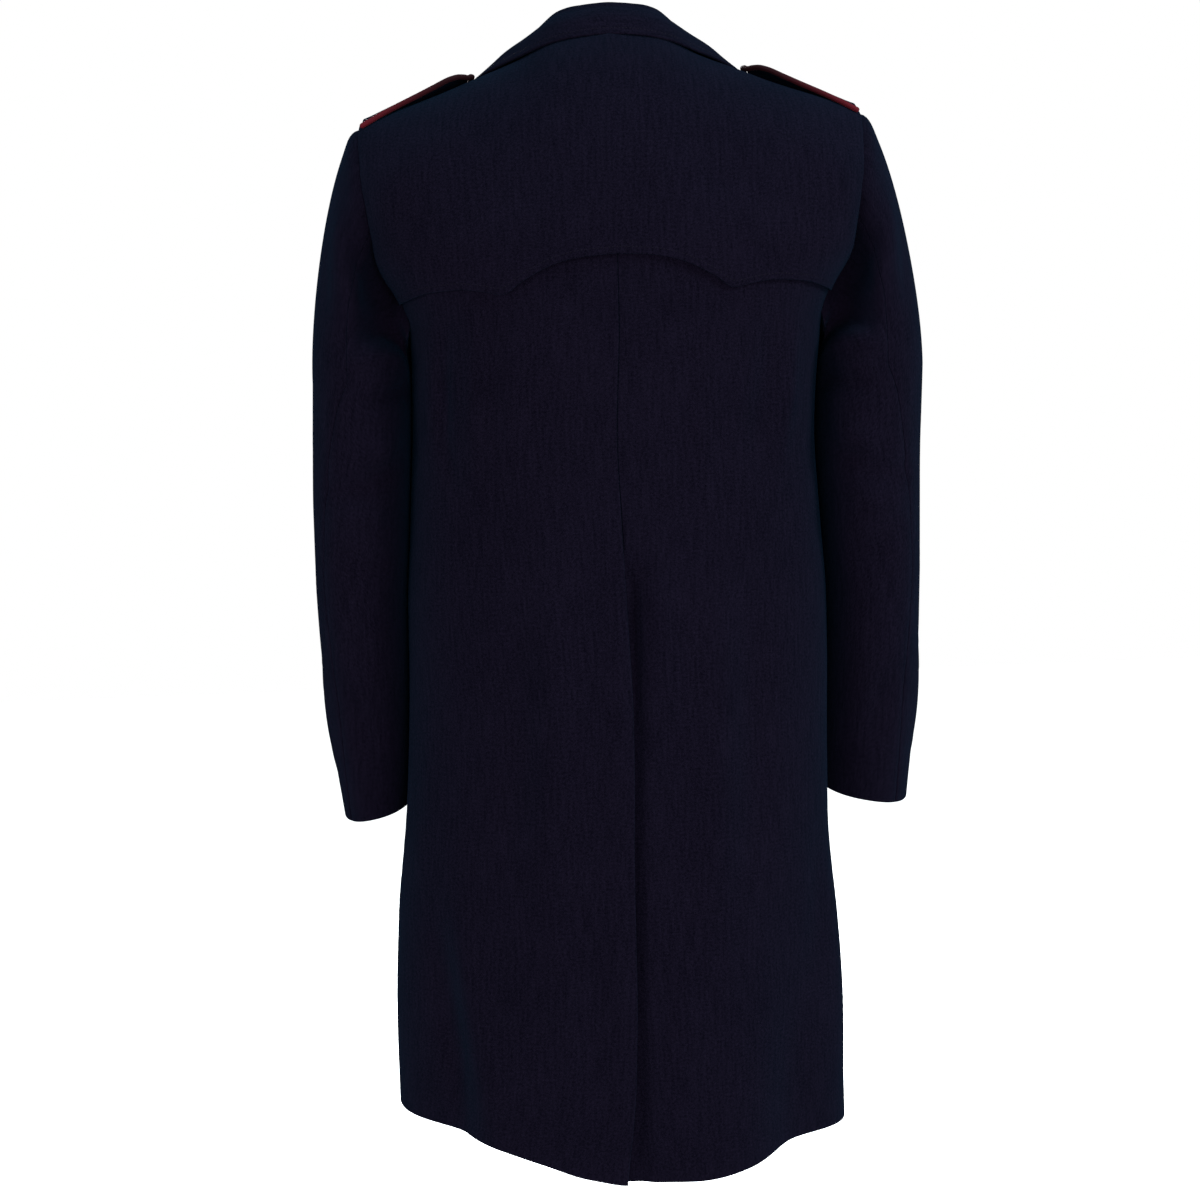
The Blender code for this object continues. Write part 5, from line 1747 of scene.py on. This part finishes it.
@dataclass
class Sleeves:
    """The two-piece sleeves."""

    form: CoatForm
    wardrobe: Wardrobe
    clearance: float = 0.0004
    square: float = 2.3
    back_seam_place: int = 4
    front_seam_place: int = 3
    steps_a_place: int = 7
    cap_steps: int = 34
    arm_steps: int = 104
    out_top: tuple[float, float, float] = (0.070, 0.0, -0.020)
    out_side: tuple[float, float, float] = (0.070, 0.012, -0.110)
    out_under: tuple[float, float, float] = (0.020, 0.0, -0.060)
    drop: float = 0.26
    rope: float = 0.0016
    cuff_turn_up: float = 0.040
    cuff_allowance: float = 0.0014
    creases: CreaseField = CreaseField(SLEEVE_CREASES, 0.0011, 3.0)
    made: dict[Side, tuple[Array, Array]] = field(default_factory=dict)

    @property
    def places(self) -> Array:
        """Places round the armhole: 0 at the tip, rising down the back and up the front."""
        round_it = 2 * self.form.hole_rows
        return np.linspace(0, round_it, round_it * self.steps_a_place + 1)[:-1]

    def turn_at(self, z: float) -> Array:
        """The angle round the sleeve of each place, kept on the seams' lines."""
        whole = 2 * self.form.hole_rows
        anchors = [0, self.back_seam_place, self.form.hole_rows, whole - self.front_seam_place, whole]
        back, front = column(SLEEVE_SEAMS, "z", "back")(z), column(SLEEVE_SEAMS, "z", "front")(z)
        return np.radians(smooth_curve(anchors, [0, float(back), 180, float(front), 360])(self.places))

    def body_side(self, side: Side, z: float, depths: Array) -> Array:
        """How far out the body reaches beside the arm."""
        angles = np.radians(np.linspace(30, 160, 131)) * side.value
        points = self.form.smooth_point(angles, (z - UNDERARM_Z) / LEVEL_STEP)
        return np.interp(depths, points[::-1, 1], np.abs(points[::-1, 0]))

    def arm_ring(self, side: Side, z: float) -> Array:
        """One ring of a sleeve below its cap, close beside the body."""
        outer, middle, half_depth, dip, tilt = (
            float(column(RINGS, "z", name)(z)) for name in ("outer", "middle", "half_depth", "dip", "tilt")
        )
        turn = self.turn_at(z)
        outer += side.value * float(column(SLEEVE_LEAN, "z", "x")(z))
        inner = 0.20
        for _ in range(24):
            half_width = (outer - inner) / 2
            across = np.abs(np.cos(turn) / half_width) ** self.square
            along = np.abs(np.sin(turn) / half_depth) ** self.square
            radius = (across + along) ** (-1 / self.square)
            out, y = radius * np.cos(turn), middle + radius * np.sin(turn)
            gap = np.min((outer + inner) / 2 + out - self.body_side(side, z, y))
            inner += (self.clearance - gap) * 0.7
        x = side.value * ((outer + inner) / 2 + out)
        return np.stack([x, y, z - dip * (y - middle) - tilt * out], axis=-1)

    def cap(self, hole: Array, ring: Array) -> list[Array]:
        """Rows of the cap, curving from the armhole to the first ring of the arm."""
        turn = 2 * math.pi * np.arange(len(hole)) / len(hole)
        top, under = np.clip(np.cos(turn), 0, 1)[:, None], np.clip(-np.cos(turn), 0, 1)[:, None]
        side_out = np.array(self.out_side) * np.stack([np.ones_like(turn), np.sin(turn), np.ones_like(turn)], -1)
        leave = top * np.array(self.out_top) + under * np.array(self.out_under) + (1 - top - under) * side_out
        drop = np.zeros_like(ring)
        drop[:, 2] = -(np.abs(hole[:, 2] - ring[:, 2]) * self.drop * 4 + 0.02)
        rows = []
        for t in spread(0, 1, self.cap_steps):
            rows.append(
                hole * (2 * t**3 - 3 * t**2 + 1)
                + leave * (t**3 - 2 * t**2 + t)
                + ring * (3 * t**2 - 2 * t**3)
                + drop * (t**3 - t**2)
            )
        return rows

    def grid(self, side: Side) -> tuple[Array, Array]:
        """Points and normals of a whole sleeve, a row for each ring from the armhole down."""
        if side in self.made:
            return self.made[side]
        hole, hole_normals = self.form.armhole(side, self.places)
        flip = np.array([side.value, 1, 1])
        heights = np.linspace(RINGS[0].z, RINGS[-1].z, self.arm_steps + 1)
        rings = [self.arm_ring(side, z) for z in heights]
        points = np.array(self.cap(hole * flip, rings[0] * flip)) * flip
        points = np.concatenate([points, rings])
        round_it = np.roll(points, -1, axis=1) - np.roll(points, 1, axis=1)
        normals = unit(np.cross(np.gradient(points, axis=0), round_it)) * side.value
        degrees = np.degrees(np.array([self.turn_at(max(RINGS[-1].z, min(z, RINGS[0].z))) for z in points[:, 0, 2]]))
        row = np.arange(len(points))[:, None]
        height = self.creases.height(degrees, points[..., 2]) * smoothstep(2, 12, row)
        inner_side = np.exp(-(((degrees - 180) / 34) ** 2))
        height = height * (1 - inner_side)
        head = np.clip(np.cos(2 * math.pi * self.places / len(self.places) * self.steps_a_place), 0, 1)
        rope = self.rope * np.exp(-(((row - 4) / 2.6) ** 2)) * (0.25 + 0.75 * head)[None, :]
        points = points + normals * (height + rope * smoothstep(0, 2, row))[..., None]
        normals[0] = unit(normals[0] + hole_normals)
        self.made[side] = points, normals
        return points, normals

    def hole_normals(self, side: Side, places: Array) -> Array:
        """The normals that the sleeve and the body share along the armhole."""
        normals = self.grid(side)[1][0]
        around = np.concatenate([normals, normals[:1]])
        known = np.concatenate([self.places, [2 * self.form.hole_rows]])
        return unit(np.stack([np.interp(places, known, around[:, axis]) for axis in range(3)], axis=-1))

    def build(self, side: Side) -> list[bpy.types.Object]:
        """The top and under pieces of one sleeve, split along its two seams."""
        points, normals = self.grid(side)
        whole = len(self.places)
        back = self.back_seam_place * self.steps_a_place
        front = whole - self.front_seam_place * self.steps_a_place
        split = {
            "under": np.arange(back, front + 1),
            "top": np.arange(front, whole + back + 1) % whole,
        }
        pieces = []
        for part, columns in split.items():
            shown, outward = points[:, columns], normals[:, columns]
            run = np.linalg.norm(shown - shown[-1:], axis=-1)
            turned = 1 - smoothstep(self.cuff_turn_up - 0.002, self.cuff_turn_up + 0.001, run)
            edging = {
                Border.FIRST_ROW: SEAMED,
                Border.LAST_ROW: PRESSED_HEM,
                Border.FIRST_COLUMN: SEWN_CLOSE,
                Border.LAST_COLUMN: SEWN_CLOSE,
            }
            cloth = Cloth(shown, outward, self.form.cloth + self.cuff_allowance * turned, edging=edging)
            size = cloth.flat_size()
            name = f"sleeve_{part}_{side.word}"
            piece = self.wardrobe.dress(cloth.build(f"{name}_cloth"), WoolTwill(), Slot.WOOL)
            declare([name])
            pieces.append(piece)
        return pieces


@dataclass
class ShoulderStraps:
    """A strap on each shoulder, edged with red piping and held by a button."""

    form: CoatForm
    wardrobe: Wardrobe
    sewing: Sewing
    edge_in: float = 0.003
    wall: float = 0.0028
    piping_radius: float = 0.0024
    piping_gap: float = 0.0004
    rows: int = 60
    columns: int = 28
    crown: float = 0.0006

    def strap_point(self, x: Array, y: Array) -> Array:
        """A point of the left strap's middle surface."""
        half, back, middle, front = (
            column(STRAP, "x", name)(x) for name in ("half_width", "back", "middle", "front")
        )
        share = y / half
        bend = (back - front) / 2 * share + ((back + front) / 2 - middle) * share**2
        return np.stack([x + 0 * y, y + 0 * x, self.form.curves["ridge"](x) + middle + bend], axis=-1)

    def build_strap(self, side: Side) -> bpy.types.Object:
        """The strap's cloth, a double layer with a soft crown."""
        x = np.linspace(0, 1, self.rows + 1)[:, None] ** 0.85
        x = STRAP[0].x + (STRAP[-1].x - STRAP[0].x) * x
        half = column(STRAP, "x", "half_width")(x)
        across = np.linspace(-1, 1, self.columns + 1)[None, :]
        points = self.strap_point(x + 0 * across, half * across)
        points[..., 2] += self.wall / 2 + self.crown * (1 - across**2)
        points = points * np.array([side.value, 1, 1])
        normals = unit(np.cross(np.gradient(points, axis=0), np.gradient(points, axis=1)))
        normals = normals * np.sign(normals[..., 2:])
        edging = {border: FOLDED for border in Border}
        cloth = Cloth(points, normals, np.array(self.wall), edging=edging)
        size = cloth.flat_size()
        name = f"strap_{side.word}"
        for border, word in ((Border.FIRST_COLUMN, "front"), (Border.LAST_COLUMN, "back")):
            self.sewing.row(f"{name}_{word}_stitches", *cloth.line_inside(border, self.edge_in))
        piece = self.wardrobe.dress(cloth.build(f"{name}_cloth"), WoolTwill(), Slot.WOOL)
        declare([name])
        return piece

    def outline(self, reach: float, steps: int = 60) -> Array:
        """The strap's long edges and tip, moved out by reach, as x and y."""
        x = np.linspace(STRAP[0].x - 0.0004, STRAP[-1].x, steps)
        half = column(STRAP, "x", "half_width")(x)
        out = unit(np.stack([-np.gradient(half, x), np.ones_like(x)], axis=-1))
        back = np.stack([x + out[:, 0] * reach, half + out[:, 1] * reach], axis=-1)
        tip = np.array([[STRAP[-1].x - reach - 0.0008, 0.0]])
        return np.concatenate([back, tip, back[::-1] * np.array([1.0, -1.0])])

    def build_piping(self, side: Side) -> bpy.types.Object:
        """The red cord of cloth round the strap."""
        outline = self.outline(self.piping_radius + self.piping_gap)
        points = self.strap_point(outline[:, 0], outline[:, 1]) * np.array([side.value, 1, 1])
        name = f"strap_piping_{side.word}"
        piece = tube(f"{name}_cord", points, self.piping_radius, sides=16)
        self.wardrobe.dress(piece, RedPipingCloth(), Slot.PIPING)
        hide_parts(name)
        LOG.info("%s: %d faces", piece.name, len(piece.data.polygons))
        return piece


def tube(name: str, points: Array, radius: float, sides: int) -> bpy.types.Object:
    """A closed tube along a line, with round ends and its own UV map.

    Args:
        name: the piece's name.
        points: the line it follows.
        radius: its radius.
        sides: how many faces go round it.

    Returns:
        The new object.
    """
    along = unit(np.gradient(points, axis=0))
    up = np.array([0.0, 0.0, 1.0])
    across = unit(np.cross(along, up))
    above = unit(np.cross(across, along))
    turn = 2 * math.pi * np.arange(sides) / sides
    ends = ((-0.9, 0.45), (-0.5, 0.86))
    rings, lines = [], []
    run = np.concatenate([[0], np.cumsum(np.linalg.norm(np.diff(points, axis=0), axis=1))])
    stations = [(0, push, share) for push, share in ends] + [(i, 0.0, 1.0) for i in range(len(points))]
    stations += [(len(points) - 1, -push, share) for push, share in reversed(ends)]
    for i, push, share in stations:
        centre = points[i] + along[i] * push * radius
        ring = np.cos(turn)[:, None] * across[i] + np.sin(turn)[:, None] * above[i]
        rings.append(centre + ring * radius * share)
        lines.append(run[i] + push * radius)
    vertices = np.array(rings).reshape(-1, 3)
    faces, uvs = [], []
    for i in range(len(rings) - 1):
        for j in range(sides):
            k = (j + 1) % sides
            faces.append([i * sides + j, i * sides + k, (i + 1) * sides + k, (i + 1) * sides + j])
            low, high = j * 2 * math.pi * radius / sides, (j + 1) * 2 * math.pi * radius / sides
            uvs += [(lines[i], low), (lines[i], high), (lines[i + 1], high), (lines[i + 1], low)]
    for first, order in ((0, -1), ((len(rings) - 1) * sides, 1)):
        cap = [first + j for j in range(sides)][::order]
        faces.append(cap)
        uvs += [(lines[0 if first == 0 else -1], radius * j / sides) for j in range(sides)]
    mesh = bpy.data.meshes.new(name)
    mesh.from_pydata(vertices.tolist(), [], faces)
    layer = mesh.uv_layers.new(name="cut")
    layer.data.foreach_set("uv", np.array(uvs, np.float32).ravel())
    mesh.shade_smooth()
    piece = bpy.data.objects.new(name, mesh)
    bpy.context.scene.collection.objects.link(piece)
    return piece


# Hard pieces, modelled with the edit-mode tools


@dataclass
class Buttons:
    """Plain domed buttons with a raised rim, on the front and on the straps."""

    form: CoatForm
    wardrobe: Wardrobe
    sewing: Sewing
    straps: ShoulderStraps
    hole_share: float = 1.25
    hole_shift: float = 0.0030
    front_radius: float = 0.0115
    strap_radius: float = 0.0080
    levels: tuple[float, ...] = (-0.085, -0.45, -0.815, -1.18)
    strap_x: float = 0.1440
    seat_gap: float = 0.0003
    sides: int = 48

    def model(self, name: str, radius: float) -> bpy.types.Object:
        """One button, its shank's foot at the origin and its dome up, grown ring by ring.

        Args:
            name: the piece's name.
            radius: the button's radius.

        Returns:
            The new object.
        """
        bpy.ops.object.select_all(action="DESELECT")
        bpy.ops.mesh.primitive_circle_add(vertices=self.sides, radius=radius * 0.24, fill_type="NGON")
        piece = bpy.context.object
        piece.name = piece.data.name = name
        bpy.ops.object.mode_set(mode="EDIT")
        bpy.ops.mesh.select_all(action="SELECT")
        bpy.ops.mesh.flip_normals()
        rings = (
            (0.24, 0.13),
            (0.90, 0.15),
            (0.985, 0.18),
            (1.00, 0.225),
            (0.985, 0.27),
            (0.93, 0.295),
            (0.875, 0.28),
            (0.83, 0.285),
            (0.74, 0.345),
            (0.60, 0.405),
            (0.42, 0.452),
            (0.22, 0.476),
        )
        wide, high = 0.24, 0.0
        bpy.ops.mesh.select_all(action="DESELECT")
        bpy.ops.mesh.select_mode(type="EDGE")
        bpy.ops.mesh.select_all(action="SELECT")
        bpy.ops.mesh.region_to_loop()
        for share, height in rings:
            bpy.ops.mesh.extrude_edges_move(TRANSFORM_OT_translate={"value": (0, 0, (height - high) * radius)})
            scale = share / wide
            bpy.ops.transform.resize(value=(scale, scale, 1))
            wide, high = share, height
        bpy.ops.mesh.edge_face_add()
        bpy.ops.mesh.select_all(action="SELECT")
        bpy.ops.mesh.remove_doubles(threshold=1e-6)
        bpy.ops.mesh.normals_make_consistent(inside=False)
        bpy.ops.object.mode_set(mode="OBJECT")
        only(piece)
        bpy.ops.object.shade_smooth_by_angle(angle=math.radians(50))
        return piece

    def seat(self, piece: bpy.types.Object, point: Array, normal: Array) -> None:
        """Puts a button on the cloth, with its place in its mesh."""
        normal = Vector(normal).normalized()
        turn = normal.to_track_quat("Z", "Y").to_matrix().to_4x4()
        piece.data.transform(Matrix.Translation(Vector(point) + normal * self.seat_gap) @ turn)
        piece.matrix_world = Matrix.Identity(4)

    def finish(self, piece: bpy.types.Object, node: str) -> None:
        """Dresses a button and hides the solid it stands for."""
        self.wardrobe.dress(piece, ButtonMetal(), Slot.METAL)
        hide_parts(node)
        LOG.info("%s: %d faces", piece.name, len(piece.data.polygons))

    def build(self) -> None:
        """The four front buttons, then one on each strap."""
        form = self.form
        for number, level in enumerate(self.levels, start=1):
            node = f"front_button_{number}"
            low, high = (np.array(corner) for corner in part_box(node))
            angle = float(form.angle_of(float(form.curves["lean"](level)), level, Facing.FRONT))
            point, normal = form.point(np.array(angle), np.array(level))
            lift = float(form.curves["front_lift"](level))
            seat = point + normal * lift
            seat[0] = (low[0] + high[0]) / 2
            button = self.model(f"{node}_metal", self.front_radius)
            self.seat(button, seat, normal)
            self.finish(button, node)
            across = unit(np.cross([0.0, 0.0, 1.0], normal))
            half = self.front_radius * self.hole_share
            self.sewing.buttonhole(f"buttonhole_{number}", seat + across * self.hole_shift, across, normal, half)
        for side in Side:
            node = f"strap_button_{side.word}"
            y = 0.001
            middle = self.straps.strap_point(np.array(self.strap_x), np.array(y)) * [side.value, 1, 1]
            middle[2] += self.straps.wall / 2 + self.straps.crown
            ahead = self.straps.strap_point(np.array(self.strap_x + 0.004), np.array(y)) * [side.value, 1, 1]
            behind = self.straps.strap_point(np.array(self.strap_x - 0.004), np.array(y)) * [side.value, 1, 1]
            slope = unit(ahead - behind)
            normal = unit(np.cross(slope, [0, 1, 0]))
            normal = normal * np.sign(normal[2])
            button = self.model(f"{node}_metal", self.strap_radius)
            self.seat(button, middle, normal)
            self.finish(button, node)


@dataclass
class Studio:
    """The camera, the pale floor and the soft lights."""

    lens: float = 63.84
    sensor: float = 36.0
    eye: tuple[float, float, float] = (0.06, 2.0, -0.3090)
    axis_off_centre: float = math.atan(25.5 / 2128.0)
    pitch: float = math.radians(-5.37)
    roll: float = math.radians(2.0)
    floor_z: float = -1.50
    floor_size: float = 14.0

    def camera(self) -> None:
        """Sets the camera where the photograph was taken from."""
        eye = Vector(self.eye)
        level = Vector((-eye.x, -eye.y, 0)).normalized()
        right = Vector((level.y, -level.x, 0))
        level = (level * math.cos(self.axis_off_centre) - right * math.sin(self.axis_off_centre)).normalized()
        right = Vector((level.y, -level.x, 0))
        ahead = level * math.cos(self.pitch) + Vector((0, 0, math.sin(self.pitch)))
        up = right.cross(ahead)
        turned_right = right * math.cos(self.roll) - up * math.sin(self.roll)
        turned_up = right * math.sin(self.roll) + up * math.cos(self.roll)
        data = bpy.data.cameras.new("photo_camera")
        data.lens, data.sensor_width = self.lens, self.sensor
        camera = bpy.data.objects.new("photo_camera", data)
        bpy.context.scene.collection.objects.link(camera)
        turn = Matrix((turned_right, turned_up, -ahead)).transposed().to_4x4()
        camera.matrix_world = Matrix.Translation(eye) @ turn
        bpy.context.scene.camera = camera

    def light(self, name: str, place: Colour, aim: Colour, size: float, power: float, tint: Colour) -> None:
        """Hangs one soft box.

        Args:
            name: the light's name.
            place: where it hangs.
            aim: the point that it faces.
            size: the length of its sides.
            power: its power in watts.
            tint: its colour.
        """
        data = bpy.data.lights.new(name, "AREA")
        data.shape, data.size, data.energy, data.color = "SQUARE", size, power, tint
        lamp = bpy.data.objects.new(name, data)
        bpy.context.scene.collection.objects.link(lamp)
        lamp.location = place
        lamp.rotation_euler = (Vector(aim) - Vector(place)).to_track_quat("-Z", "Y").to_euler()
        lamp.visible_camera = False

    def lights(self) -> None:
        """A white surround with soft boxes on each side, behind the camera, overhead and in front."""
        world = bpy.data.worlds.new("white_surround")
        world.use_nodes = True
        world.node_tree.nodes["Background"].inputs["Color"].default_value = (1.0, 1.0, 1.0, 1.0)
        world.node_tree.nodes["Background"].inputs["Strength"].default_value = 1.0
        bpy.context.scene.world = world
        middle = (0.0, 0.0, -0.45)
        self.light("right_box", (-2.5, 1.3, 0.9), middle, 0.9, 205, (0.86, 0.97, 1.0))
        self.light("left_box", (2.3, 1.6, 0.0), middle, 1.2, 85, (0.96, 0.93, 1.0))
        self.light("back_box", (-0.8, 3.2, -0.5), (0.0, 0.0, -0.8), 1.2, 115, (1.0, 0.88, 0.98))
        self.light("top_box", (0.1, 0.7, 2.2), middle, 1.2, 105, (0.62, 0.93, 1.0))
        self.light("front_box", (0.9, -2.7, 0.9), middle, 1.5, 160, (1.0, 0.96, 1.0))

    def floor(self, wardrobe: Wardrobe) -> None:
        """A wide pale floor, well below the hem."""
        bpy.ops.object.select_all(action="DESELECT")
        bpy.ops.mesh.primitive_plane_add(size=self.floor_size, location=(0, 0, self.floor_z))
        plane = bpy.context.object
        plane.name = "floor"
        bpy.ops.object.transform_apply(location=True, rotation=True, scale=True)
        paper = PalePaper()
        wardrobe.made[paper.name] = paper.material()
        plane.data.materials.append(wardrobe.made[paper.name])

    def build(self, wardrobe: Wardrobe) -> None:
        """Everything round the coat, and plain output colours."""
        self.camera()
        self.floor(wardrobe)
        self.lights()
        bpy.context.scene.view_settings.view_transform = "Standard"


def main() -> None:
    """Builds the coat piece by piece, then the studio."""
    logging.basicConfig(level=logging.INFO, format="%(name)s %(message)s")
    form, wardrobe = CoatForm(), Wardrobe()
    sewing = Sewing(wardrobe)
    sleeves = Sleeves(form, wardrobe)
    panels = Panels(form, wardrobe, sleeves, sewing)
    lapels = Lapels(form, wardrobe, sewing)
    straps = ShoulderStraps(form, wardrobe, sewing)
    CoatCollar(form, wardrobe, sewing).build()
    for side in Side:
        panels.build_back(side)
        panels.build_front(side)
        lapels.build(side)
        sleeves.build(side)
        straps.build_strap(side)
        straps.build_piping(side)
    StormFlap(form, wardrobe, sleeves, sewing).build()
    Buttons(form, wardrobe, sewing, straps).build()
    Studio().build(wardrobe)


if __name__ == "__main__":
    main()
